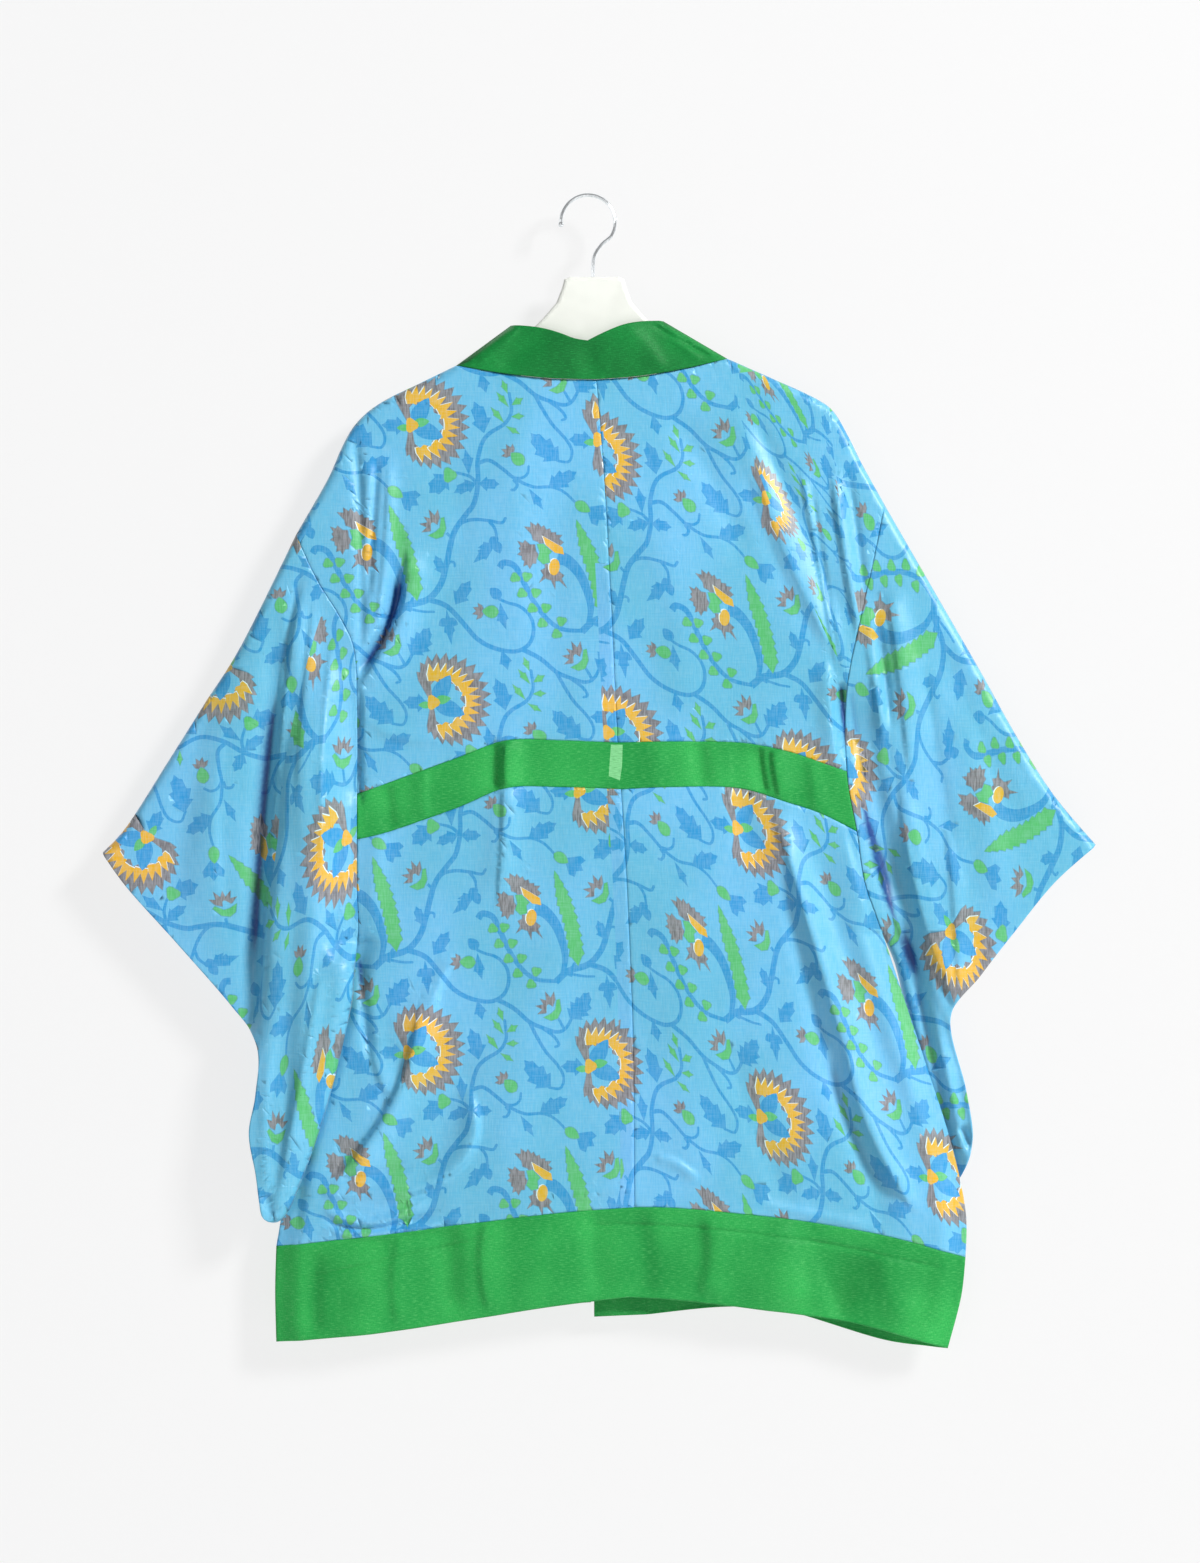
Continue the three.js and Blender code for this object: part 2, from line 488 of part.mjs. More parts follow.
// One wall of a sleeve, back (facing 1) or front (-1). The real sleeve is one cloth, folded along
// its top. Its two walls are separate nodes, so that each keeps its collision off the hollow.
function sleeveWall(half, facing) {
  const shares = armhole(half);
  const end = shares[shares.length - 1];
  const flat = patch(edge(half.sleeveTop), edge(half.sleeveBottom),
    part(half.sideLine, 0, end), edge(half.cuff));
  const foldX = acrossAt(edge(half.hangFold));
  const folds = facing > 0 ? BACK_FOLDS : FRONT_FOLDS;
  const surface = (u, v) => {
    const place = flat(u, v);
    const ease = UNDERARM_EASE * smooth((v - UNDERARM_FROM) / UNDERARM_OVER)
      * (1 - smooth(u / UNDERARM_REACH));
    const [x, z] = [place.x + half.sign * ease, place.z];

    const seam = half.sideLine(v * end);
    const seamDrop = v * end * (UPPER_LENGTH / half.waistFrom);
    const seamDepth = bodyHalfDepth(half, folds, seam.x, seam.y) * round(seamDrop / FOLD_RADIUS);

    const fromTop = round((v * SLEEVE_WIDTH) / FOLD_RADIUS);
    const fromSeam = smooth(((1 - v) * SLEEVE_WIDTH) / SLEEVE_ROLL);
    const full = (SLEEVE_HALF_DEPTH + foldsAt(SLEEVE_FOLDS, x, z) * SLEEVE_FOLD_SHARE) * fromTop;
    const ownDepth = mix(SEAM_HALF_DEPTH, full, fromSeam);
    const hanging = half.sign * (foldX(z) - x);
    const toSleeve = smooth(u / SLEEVE_SEAM_SHARE);
    const lower = smooth((HANG_FROM - z) / HANG_OVER) * toSleeve;
    const middle = half.sign * HANG_SHIFT * smooth((hanging + SHIFT_BEFORE) / SHIFT_OVER) * lower;
    const step = facing > 0 ? HANG_LIFT * Math.min(fromTop, fromSeam) : 0;
    const lift = step * smooth((hanging + LIFT_BEFORE) / LIFT_OVER) * lower;
    return new THREE.Vector3(x, middle - facing * mix(seamDepth, ownDepth, toSleeve) - lift, z);
  };
  return wall(surface, SLEEVE_COLUMNS, shares.map((share) => share / end),
    { rims: ["start", "top"], startGap: SLEEVE_EASE });
}

// ---------------------------------------------------------------- hanger

// The arms follow the shoulders, just under the cloth.
function hangerBody() {
  const below = (WALL / 2 + HANGER_CLEARANCE) / Math.cos(ARM_SLOPE);
  const halfOutline = (half) => {
    const shoulder = edge(half.shoulder);
    const arm = ARM_SHARES.map((share) => shoulder(share))
      .map((point) => new THREE.Vector2(point.x, point.y - below));
    const armEnd = shoulder(ARM_END_SHARE);
    const end = ARM_END.map((row) => new THREE.Vector2(armEnd.x - half.sign * row.in, armEnd.y - row.down));
    const place = (row) => new THREE.Vector2(HANGER_MIDDLE + half.sign * row.out, -row.down);
    return [...HANGER_NECK.map(place), ...arm, ...end, ...HANGER_UNDERSIDE.map(place)];
  };
  const right = halfOutline(HALVES.right);
  const left = halfOutline(HALVES.left).slice(0, -1).reverse();
  const inset = HANGER_EDGE_RADIUS;
  const shape = new THREE.Shape([...right, ...left]);
  const geometry = new THREE.ExtrudeGeometry(shape, {
    depth: HANGER_THICKNESS - 2 * inset,
    bevelThickness: inset,
    bevelSize: inset,
    bevelOffset: -inset,
    bevelSegments: HANGER_ROUND_STEPS,
  });
  geometry.rotateX(Math.PI / 2).translate(0, HANGER_THICKNESS / 2 - inset, 0);
  return geometry;
}

async function manifold() {
  const wasm = await Module();
  wasm.setup();
  return (geometry) => {
    const bare = geometry.clone();
    bare.deleteAttribute("normal");
    bare.deleteAttribute("uv");
    const merged = mergeVertices(bare, 1e-4);
    return new wasm.Manifold(new wasm.Mesh({
      numProp: 3, vertProperties: merged.attributes.position.array, triVerts: new Uint32Array(merged.index.array),
    }));
  };
}

function fromManifold(solid) {
  const mesh = solid.getMesh();
  const geometry = new THREE.BufferGeometry();
  geometry.setAttribute("position", new THREE.Float32BufferAttribute(mesh.vertProperties, 3));
  geometry.setIndex(Array.from(mesh.triVerts));
  return geometry;
}

// The wire: up from the hanger, out to the right, over the top and down to a ball tip.
function hangerHook(toSolid) {
  const centreZ = -HOOK_RADIUS + WIRE_RADIUS;
  const onCircle = (radius, angle) => [radius * Math.cos(angle), radius * Math.sin(angle)];
  const arc = even(HOOK_ARC.points - 1, HOOK_ARC.from, HOOK_ARC.to).map((angle) => {
    const [x, z] = onCircle(HOOK_RADIUS, THREE.MathUtils.degToRad(angle));
    return new THREE.Vector3(x, 0, centreZ + z);
  });
  const route = [...HOOK_STEM.map(({ x, z }) => new THREE.Vector3(x, 0, z)), ...arc];
  const section = new THREE.Shape(Array.from({ length: WIRE_SIDES },
    (_, i) => new THREE.Vector2(...onCircle(WIRE_RADIUS, (i * 2 * Math.PI) / WIRE_SIDES))));
  const wire = new THREE.ExtrudeGeometry(section, {
    steps: WIRE_STEPS,
    bevelEnabled: false,
    extrudePath: new THREE.CatmullRomCurve3(route, false, "centripetal"),
  });
  const tip = new THREE.SphereGeometry(TIP_RADIUS, 12, 8);
  tip.translate(-HOOK_RADIUS, 0, centreZ - TIP_DROP);
  return fromManifold(toSolid(wire).add(toSolid(tip)));
}

// ---------------------------------------------------------------- assembly

const cloth = (colour) => new THREE.MeshStandardMaterial({
  color: colour, roughness: 0.5, metalness: 0, side: THREE.DoubleSide,
});
const silk = cloth(COLOURS.blue);
const rawSilk = cloth(COLOURS.green);
const plastic = new THREE.MeshStandardMaterial({ color: COLOURS.plastic, roughness: 0.4, metalness: 0 });
const chrome = new THREE.MeshStandardMaterial({ color: COLOURS.chrome, roughness: 0.15, metalness: 1 });

const kimono = new THREE.Group();
const garment = new THREE.Group();
garment.position.x = STEM_X;
kimono.add(garment);

function add(group, name, geometry, material) {
  const mesh = new THREE.Mesh(geometry, material);
  mesh.name = name;
  group.add(mesh);
}

for (const [name, half] of Object.entries(HALVES)) {
  add(garment, `back_upper_${name}`, backUpper(half), silk);
  add(garment, `back_lower_${name}`, backLower(half), silk);
  add(garment, `front_${name}`, front(half), silk);
  add(garment, `front_hem_${name}`, frontHem(half), rawSilk);
  add(garment, `front_band_${name}`, frontBand(half), rawSilk);
  add(garment, `sleeve_${name}_back`, sleeveWall(half, 1), silk);
  add(garment, `sleeve_${name}_front`, sleeveWall(half, -1), silk);
}
add(garment, "waist_band", backBand("waistTop", "waistBottom",
  (half) => part(half.sideLine, half.waistFrom, half.waistTo), BAND_ROWS, ALL_RIMS), rawSilk);
add(garment, "back_hem", backBand("hemTop", "hemBottom",
  (half) => edge(half.hemSide), HEM_ROWS, HEM_RIMS), rawSilk);
add(garment, "collar", collar(), rawSilk);
add(garment, "hanger_body", hangerBody(), plastic);
add(kimono, "hanger_hook", hangerHook(await manifold()), chrome);

export default kimono;
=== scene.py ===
# %% [markdown]
# A short silk kimono jacket hangs, back outwards, on a white moulded hanger with a chrome hook.
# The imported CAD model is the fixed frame: every cloth shell made here lies on the form of the
# solid that it replaces, so both are worked out from the same named lines and folds.

import math

import bmesh
import bpy
import numpy as np
from mathutils import Matrix, Vector
from mathutils.geometry import delaunay_2d_cdt


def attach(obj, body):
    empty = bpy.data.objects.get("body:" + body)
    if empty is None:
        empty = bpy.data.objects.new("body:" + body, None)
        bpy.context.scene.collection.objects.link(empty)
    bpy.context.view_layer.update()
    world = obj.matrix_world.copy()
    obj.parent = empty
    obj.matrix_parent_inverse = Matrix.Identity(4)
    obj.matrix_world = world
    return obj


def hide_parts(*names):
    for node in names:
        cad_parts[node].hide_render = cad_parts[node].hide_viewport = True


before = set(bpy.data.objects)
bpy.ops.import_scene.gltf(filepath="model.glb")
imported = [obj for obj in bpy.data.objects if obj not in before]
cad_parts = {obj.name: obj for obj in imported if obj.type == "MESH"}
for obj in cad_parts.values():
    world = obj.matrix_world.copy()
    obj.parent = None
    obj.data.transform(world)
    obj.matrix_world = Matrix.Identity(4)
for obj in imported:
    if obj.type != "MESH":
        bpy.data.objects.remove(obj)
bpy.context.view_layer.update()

# %% [markdown]
# The jacket is looked at squarely, from a few metres away, as a shop hangs it for a catalogue.
# A long lens keeps its outline true, and the middle of the picture is the middle of the garment.

# %% Camera
IMAGE_HEIGHT = 1.4067  # metres of the garment's plane from the picture's top to its bottom
LENS = 80
SENSOR = 36
LOOK_AT = Vector((0.0108, 0, -0.526))

camera = bpy.data.objects.new("camera", bpy.data.cameras.new("camera"))
camera.data.lens = LENS
camera.data.sensor_width = SENSOR
camera.location = LOOK_AT + Vector((0, -LENS * IMAGE_HEIGHT / SENSOR, 0))
camera.rotation_euler = (math.radians(90), 0, 0)
bpy.context.scene.collection.objects.link(camera)
bpy.context.scene.camera = camera
bpy.context.scene.view_settings.view_transform = "Standard"
print("camera stands", round(-camera.location.y, 2), "m away")

# %% [markdown]
# The lines of the garment are the maker's pattern lines: shoulder, side, seams and hems, each a
# smooth line through a few points. They are in millimetres from the hanger's stem, across and up.
# A spline through few points keeps a hanging edge soft, where straight pieces would look cut.

# %% Lines of the garment
MM = 0.001
STEM_X = 3.6  # the garment's middle line, beside the hook's middle
LINE_STEPS = 40  # samples between two points of a line
EDGE_STEP = 4  # millimetres between two points of a cut edge
WAIST_TOP, WAIST_BOTTOM, HEM_TOP = -491, -533, -908  # heights of the bands' edges at the centre seam


class Line:
    """A smooth line through points, read by the share of its length."""

    def __init__(self, *points):
        p = np.array(points, float)
        before = np.vstack([p[:1], p[:-2]])
        after = np.vstack([p[2:], p[-1:]])
        t = np.linspace(0, 1, LINE_STEPS, endpoint=False)[:, None]
        rows = []
        for i in range(len(p) - 1):
            v0, v1 = (p[i + 1] - before[i]) / 2, (after[i] - p[i]) / 2
            rows.append((2 * p[i] - 2 * p[i + 1] + v0 + v1) * t ** 3
                        + (-3 * p[i] + 3 * p[i + 1] - 2 * v0 - v1) * t ** 2 + v0 * t + p[i])
        self.samples = np.vstack([*rows, p[-1:]])
        steps = np.hypot(*np.diff(self.samples, axis=0).T)
        self.travel = np.concatenate([[0], np.cumsum(steps)])
        self.length = self.travel[-1]

    def at(self, share):
        place = np.clip(share, 0, 1) * self.length
        return np.stack([np.interp(place, self.travel, column) for column in self.samples.T], -1)

    def across(self, z):
        """x at a height, for a line that only goes down."""
        return np.interp(-np.asarray(z), -self.samples[:, 1], self.samples[:, 0])

    def share_at(self, z):
        return float(np.interp(-z, -self.samples[:, 1], self.travel) / self.length)

    def part(self, start, end):
        """Points about EDGE_STEP apart from one share of the length to another."""
        count = max(2, round(abs(end - start) * self.length / EDGE_STEP))
        return self.at(np.linspace(start, end, count + 1))


LEFT = dict(
    sign=-1, underarm=-669,
    shoulder=Line((-266, -304), (-238, -255), (-225, -226), (-215, -208), (-202, -194), (-184, -182),
                  (-159, -170), (-122, -152)),
    neckline=Line((-122, -152), (-83, -159), (-38, -164), (4, -165)),
    side=Line((-266, -304), (-247, -345), (-225, -381), (-213, -412), (-211, -475), (-211, -537),
              (-211, -578), (-211, -622), (-211, -669), (-225, -720), (-251, -800), (-270, -870),
              (-284, -944)),
    hem_side=Line((-284, -944), (-285, -985), (-284, -1030)),
    waist_top=Line((-211, -537), (-188, -529), (-122, -505), (-77, -489), (-29, -489), (23, -491)),
    waist_bottom=Line((-211, -578), (-182, -571), (-122, -550), (-77, -532), (-29, -531), (26, -533)),
    hem_top=Line((-284, -944), (-184, -932), (-104, -922), (-40, -914), (38, -908)),
    hem_bottom=Line((-284, -1030), (-184, -1020), (-104, -1008), (-35, -997), (32, -989)),
    front_hem_top=Line((-284, -944), (-184, -935), (-110, -922), (-47, -915)),
    front_hem_bottom=Line((-284, -1030), (-184, -1021), (-110, -1008), (-47, -999)),
    front_seam=Line((-122, -152), (-103, -220), (-82, -300), (-54, -400), (-47, -470), (-47, -700),
                    (-47, -999)),
    front_edge=Line((-73, -116), (-56, -200), (-34, -300), (-8, -400), (-1, -470), (-1, -700), (-1, -996)),
    sleeve_top=Line((-266, -304), (-315, -403), (-349, -457), (-383, -511), (-418, -566), (-440, -590)),
    cuff=Line((-440, -590), (-416, -623), (-371, -673), (-324, -727), (-299, -763), (-300, -805),
              (-306, -840), (-300, -876), (-297, -900), (-294, -915), (-286, -921)),
    sleeve_bottom=Line((-211, -669), (-213, -697), (-216, -728), (-232, -797), (-248, -850),
                       (-263, -890), (-271, -909), (-279, -919), (-286, -921)),
    hang_fold=Line((-216, -327), (-241, -372), (-261, -443), (-276, -518), (-281, -577), (-292, -657),
                   (-300, -730), (-330, -800)),
)
RIGHT = dict(
    sign=1, underarm=-662,
    shoulder=Line((263, -277), (243, -241), (229, -213), (216, -192), (198, -180), (165, -165), (122, -146)),
    neckline=Line((122, -146), (84, -155), (43, -162), (4, -165)),
    side=Line((263, -277), (253, -327), (240, -385), (229, -444), (229, -517), (238, -571), (245, -616),
              (261, -662), (283, -728), (301, -782), (323, -851), (336, -912), (336, -954)),
    hem_side=Line((336, -954), (332, -990), (320, -1036)),
    waist_top=Line((229, -517), (206, -509), (176, -499), (133, -491), (72, -490), (23, -491)),
    waist_bottom=Line((238, -571), (206, -555), (176, -545), (131, -532), (72, -531), (26, -533)),
    hem_top=Line((336, -954), (265, -934), (173, -918), (81, -909), (38, -908)),
    hem_bottom=Line((320, -1036), (242, -1014), (177, -1003), (81, -992), (32, -989)),
    front_hem_top=Line((336, -954), (265, -944), (176, -920), (120, -915), (49, -922)),
    front_hem_bottom=Line((320, -1036), (265, -1030), (176, -1004), (120, -1000), (49, -1007)),
    front_seam=Line((122, -146), (104, -220), (84, -300), (56, -400), (49, -470), (49, -700), (49, -1007)),
    front_edge=Line((64, -112), (52, -200), (32, -300), (9, -400), (2, -470), (2, -700), (2, -1009)),
    sleeve_top=Line((263, -277), (320, -376), (351, -430), (381, -484), (415, -538), (453, -583)),
    cuff=Line((453, -583), (415, -617), (380, -660), (349, -700), (322, -738), (336, -801), (342, -850),
              (331, -886)),
    sleeve_bottom=Line((261, -662), (274, -690), (283, -728), (296, -782), (314, -840), (331, -886)),
    hang_fold=Line((229, -321), (237, -362), (252, -418), (259, -463), (270, -525), (289, -600),
                   (304, -662), (317, -720), (350, -785)),
)
HALVES = dict(left=LEFT, right=RIGHT)
CENTRE = Line((4, -165), (11, -255), (17, -363), (23, -491), (26, -533), (32, -633), (37, -768), (38, -908))
COLLAR_TOP_LEFT = Line((-73, -116), (-58, -117), (-43, -119.5), (-28, -124), (-16, -128.5), (-4, -130.5))
COLLAR_TOP_RIGHT = Line((-4, -130.5), (9, -124), (27, -116.5), (44, -113), (64, -112))
for half_name, half in HALVES.items():
    print(half_name, "shoulder", round(half["shoulder"].length), "mm, side", round(half["side"].length), "mm")

# %% [markdown]
# Cloth on a hanger falls in soft folds. Each is a ridge or a trough through three points, with a
# rise at its middle and a width over which it dies away. Adding their bell-shaped sections gives
# folds as uneven as the real ones, and the same jacket every time the script runs.
# The first rows of each table are the large folds that the solids have too.

# %% Folds
FOLD_PARTS = 10  # straight parts of one fold's curve, where its height is worked out
SHARP_WIDTH = 6  # folds that are narrower than this on one side need a finer mesh
FOLD_ROW_STEP = 3.5  # millimetres between two places along a fold
CROWDED = 1.6  # places that are nearer than about this are thinned out
FOLD_ROW_SHARES = (0.35, 0.7, 1.1, 1.6, 2.2)  # widths from the fold's line
FOLD_END = 0.25  # the share of its length over which a fold fades
FOLD_END_START = 0.25  # how far into that fade its very end is
REACH = 3  # widths beyond which a fold isn't felt
FAR = 1e9

BACK_FOLDS = np.array([
    # x0, z0, x1, z1, x2, z2, rise, width on its left, width on its right
    (-193, -242, -197, -299, -203, -392, 3, 10, 10),
    (-167, -333, -176, -368, -188, -420, -2.5, 9, 9),
    (125, -175, 162, -285, 216, -410, 1.8, 12, 12),
    (140, -185, 186, -290, 224, -380, -2.5, 8, 8),
    (-77, -485, -77, -532, -90, -640, 3, 12, 12),
    (138, -485, 134, -540, 150, -600, -2.5, 13, 13),
    (160, -560, 211, -708, 282, -916, 5, 15, 15),
    (190, -720, 236, -840, 262, -930, -2.5, 12, 12),
    (-146, -709, -175, -800, -219, -885, 4, 14, 14),
    (-110, -760, -134, -840, -160, -930, -2.5, 16, 16),
    (-200, -940, -205, -990, -210, -1030, 4, 24, 24),
    (-60, -880, -50, -950, -45, -1000, 3, 30, 30),
    (120, -900, 150, -960, 170, -1005, 4.5, 26, 26),
    (240, -950, 232, -985, 225, -1015, -3, 20, 20),
    # upper back, left
    (-193, -236, -197, -300, -201, -366, -4.3, 4, 4),
    (-214, -212, -207, -300, -208, -420, -3.5, 5, 4),
    (-182, -240, -185, -320, -194, -400, 2.7, 3, 7),
    (-165, -318, -173, -375, -207, -440, 6.8, 2.5, 15),
    (-173, -340, -183, -386, -212, -432, -8.2, 7, 5),
    (-209, -440, -209, -500, -208, -548, -6.1, 4, 3),
    (-60, -190, -70, -300, -60, -400, 1.9, 22, 22),
    (-20, -250, -40, -380, -30, -470, -1.6, 20, 20),
    (-140, -200, -120, -300, -150, -400, -1.4, 20, 14),
    (-200, -470, -160, -488, -100, -480, 1.8, 5, 10),
    # upper back, right
    (150, -250, 172, -316, 224, -424, 1.6, 3, 10),
    (138, -250, 162, -320, 214, -424, -1.2, 8, 4),
    (188, -250, 202, -320, 220, -424, 3.2, 2.2, 7),
    (196, -260, 207, -330, 222, -430, -2.8, 6, 3),
    (216, -250, 226, -320, 240, -398, 4.4, 2.6, 9),
    (230, -250, 240, -320, 247, -380, -3, 6, 4),
    (224, -436, 226, -465, 232, -506, -8.8, 5, 5),
    (211, -420, 214, -470, 220, -520, 4.1, 10, 3),
    (60, -180, 100, -240, 140, -330, -2.2, 14, 14),
    (50, -300, 80, -380, 70, -470, 1.8, 18, 26),
    # waist band
    (-88, -487, -86, -512, -87, -534, -3.2, 9, 3),
    (-76, -487, -78, -512, -77, -534, 4.1, 2.5, 12),
    (150, -492, 152, -515, 157, -540, -3.6, 9, 3),
    (163, -496, 165, -516, 170, -542, 4.1, 3, 14),
    (95, -489, 98, -512, 99, -532, -3, 10, 8),
    (-150, -515, -152, -536, -150, -560, 2.2, 10, 5),
    (60, -490, 58, -512, 56, -532, 1.6, 12, 8),
    (196, -503, 200, -530, 202, -553, 2.2, 6, 10),
    (-185, -528, -183, -548, -181, -571, -2.2, 9, 6),
    # lower back, left
    (-79, -532, -79, -570, -84, -640, 3.5, 2.5, 16),
    (-154, -730, -176, -808, -228, -882, 5.2, 3, 16),
    (-164, -756, -190, -824, -236, -878, -4.6, 9, 5),
    (-110, -805, -116, -866, -190, -902, 5.4, 11, 3.5),
    (-122, -690, -134, -700, -146, -740, 2.7, 8, 3),
    (-207, -712, -197, -765, -181, -810, 3.5, 4, 9),
    (-209, -676, -206, -720, -198, -775, -8, 4.5, 6),
    (-190, -560, -196, -620, -200, -680, 2.2, 9, 9),
    (-15, -640, -60, -760, -80, -900, 1.9, 25, 25),
    (-240, -909, -196, -921, -144, -899, 4.1, 4, 3.5),
    (-238, -920, -192, -927, -138, -911, -3.5, 3, 3),
    (-236, -930, -186, -931, -120, -918, 3.5, 3.5, 3),
    (-244, -893, -210, -896, -168, -886, 2.4, 5, 4),
    (-226, -882, -200, -880, -150, -868, -2.2, 4, 5),
    (-255, -850, -262, -890, -266, -930, -3.5, 5, 5),
    # lower back, right
    (163, -548, 199, -672, 230, -777, 5.4, 3, 14),
    (228, -766, 247, -836, 288, -908, 6.8, 3, 9),
    (214, -764, 234, -836, 272, -906, -3.2, 10, 5),
    (170, -600, 190, -690, 214, -770, -3.5, 9, 5),
    (224, -570, 256, -680, 306, -820, 3, 12, 4),
    (200, -590, 236, -700, 290, -850, -2.4, 12, 9),
    (60, -620, 85, -760, 90, -890, 2.2, 26, 26),
    (56, -863, 76, -868, 96, -884, 2.2, 6, 3),
    (-20, -900, 10, -893, 40, -890, 1.9, 5, 5),
    (150, -905, 200, -915, 250, -925, 2.2, 5, 5),
    (120, -760, 150, -840, 175, -905, -2, 12, 12),
    # hem band
    (-262, -973, -184, -955, -92, -935, -1.5, 1.8, 1.8),
    (-11, -925, 150, -932, 330, -968, -1.5, 1.8, 1.8),
    (-130, -920, -126, -960, -124, -1006, -4.6, 16, 10),
    (-92, -918, -98, -958, -90, -1002, 3.2, 5, 14),
    (6, -910, 2, -950, 8, -988, -3, 9, 16),
    (40, -910, 46, -950, 50, -990, -3.2, 18, 10),
    (104, -914, 108, -950, 100, -990, 4.6, 7, 18),
    (166, -920, 176, -956, 184, -998, 4.4, 22, 12),
    (202, -936, 212, -966, 230, -1006, -3.0, 10, 30),
    (262, -946, 268, -978, 280, -1014, 3.6, 14, 18),
    (304, -950, 304, -986, 300, -1024, -2.4, 20, 14),
    (-248, -945, -250, -985, -250, -1024, -3.2, 12, 8),
    (-170, -932, -176, -972, -172, -1012, 3, 6, 14),
])
FRONT_FOLDS = np.array([
    (-195, -245, -198, -300, -204, -392, 3, 10, 10),
    (210, -225, 222, -290, 226, -400, 3, 10, 10),
    (-120, -210, -140, -320, -180, -440, 3, 12, 12),
    (126, -210, 150, -330, 190, -440, 3, 12, 12),
    (-90, -560, -110, -720, -150, -930, 3.5, 20, 20),
    (110, -540, 150, -720, 215, -935, 4, 20, 20),
    (-180, -700, -205, -800, -235, -925, 3, 14, 14),
    (-170, -930, -180, -990, -190, -1025, 3.5, 26, 26),
    (150, -915, 170, -960, 190, -1010, 4, 26, 26),
    # on the cloth alone
    (-116, -200, -136, -320, -184, -436, 4.1, 3, 12),
    (120, -200, 146, -320, 198, -430, 4.1, 12, 3),
    (-150, -250, -165, -330, -196, -400, -4.1, 8, 5),
    (165, -240, 182, -320, 210, -400, -4.1, 5, 8),
    (-70, -420, -80, -560, -90, -700, 2.4, 18, 10),
    (80, -420, 90, -560, 105, -700, 2.4, 10, 18),
    (-96, -600, -114, -740, -160, -925, 4.7, 3, 14),
    (116, -580, 150, -740, 220, -925, 4.7, 14, 3),
    (-140, -640, -150, -740, -180, -880, -4.1, 10, 6),
    (170, -640, 190, -760, 240, -900, -4.1, 6, 10),
    (-250, -900, -200, -890, -140, -884, 2.7, 5, 4),
    (120, -905, 190, -912, 260, -926, 2.7, 5, 4),
    (-236, -922, -190, -918, -130, -908, -2.2, 4, 4),
])
SLEEVE_FOLDS = np.array([
    (-243, -335, -272, -395, -292, -470, 3, 10, 10),
    (-300, -420, -330, -520, -352, -640, 2.5, 16, 16),
    (-228, -470, -236, -600, -246, -735, -3, 9, 9),
    (-262, -560, -270, -680, -276, -830, -3.5, 9, 9),
    (-248, -640, -258, -760, -270, -870, 3, 8, 8),
    (262, -340, 285, -420, 300, -500, 3, 10, 10),
    (330, -440, 350, -540, 366, -640, 2.5, 16, 16),
    (246, -470, 258, -570, 272, -640, -3, 8, 8),
    (258, -571, 291, -662, 307, -754, -3.5, 9, 9),
    (296, -690, 315, -770, 330, -850, 3, 8, 8),
    # left, on the cloth alone
    (-274, -378, -292, -520, -306, -738, -8.2, 12, 5),
    (-262, -362, -281, -520, -296, -745, 6.8, 2.6, 14),
    (-258, -330, -272, -395, -270, -460, -4.1, 4, 6),
    (-246, -350, -256, -440, -262, -540, 3.2, 3, 8),
    (-232, -400, -240, -500, -240, -620, 3.5, 3, 9),
    (-300, -360, -330, -430, -360, -500, -2.2, 14, 8),
    (-330, -470, -340, -560, -330, -680, 2.4, 16, 6),
    (-352, -520, -372, -580, -368, -650, -1.9, 12, 12),
    (-222, -560, -226, -640, -228, -690, -4.1, 5, 4),
    (-240, -690, -256, -780, -278, -890, 4.3, 4, 7),
    (-286, -760, -292, -830, -290, -890, 2.4, 5, 4),
    (-268, -780, -276, -840, -284, -900, -2.2, 6, 5),
    (-291, -893, -288, -905, -285, -914, -5, 4, 5),
    # right, on the cloth alone
    (330, -836, 337, -846, 341, -858, -7, 4, 4),
    (238, -366, 250, -420, 262, -492, 6.1, 2.6, 9),
    (252, -370, 262, -420, 268, -480, -6.8, 6, 4),
    (266, -360, 276, -430, 286, -520, 4.1, 2.6, 9),
    (233, -436, 238, -482, 249, -536, -6.6, 4, 4),
    (242, -520, 262, -606, 300, -720, -8.8, 9, 6),
    (238, -512, 258, -586, 284, -680, 4.7, 2.4, 5),
    (277, -530, 293, -632, 328, -730, 6.6, 2.6, 13),
    (296, -420, 312, -520, 330, -610, -2.7, 12, 6),
    (310, -400, 345, -480, 380, -560, -2.2, 14, 10),
    (318, -560, 326, -640, 330, -720, 3.5, 3, 10),
    (290, -700, 306, -770, 326, -850, -5.4, 5, 4),
    (304, -720, 322, -800, 336, -876, 4.1, 3, 6),
])
COLLAR_FOLDS = np.array([
    (-62, -112, -80, -134, -104, -152, 2.4, 8, 3),
    (-30, -118, -62, -138, -84, -160, -2.2, 7, 12),
    (46, -110, 76, -128, 112, -146, -2.4, 2.2, 3),
    (28, -116, 52, -138, 62, -160, 2.2, 12, 6),
    (-4, -130, -2, -146, 2, -164, -1.8, 10, 8),
    (70, -120, 84, -136, 100, -150, 1.6, 5, 3),
])
print(len(BACK_FOLDS), "folds on the back,", len(FRONT_FOLDS), "on the fronts,",
      len(SLEEVE_FOLDS), "on the sleeves and", len(COLLAR_FOLDS), "on the collar")

# %% [markdown]
# A place belongs to the nearest point of a fold's curve, and rises by a bell of its distance to
# it. A fold may be sharp on one side and gentle on the other, as a real one that has slumped.
# Beside sharp folds the mesh gets rows of places of its own.

# %% Reading the folds


def smooth(t):
    """An even step from 0 to 1."""
    c = np.clip(t, 0, 1)
    return c * c * (3 - 2 * c)


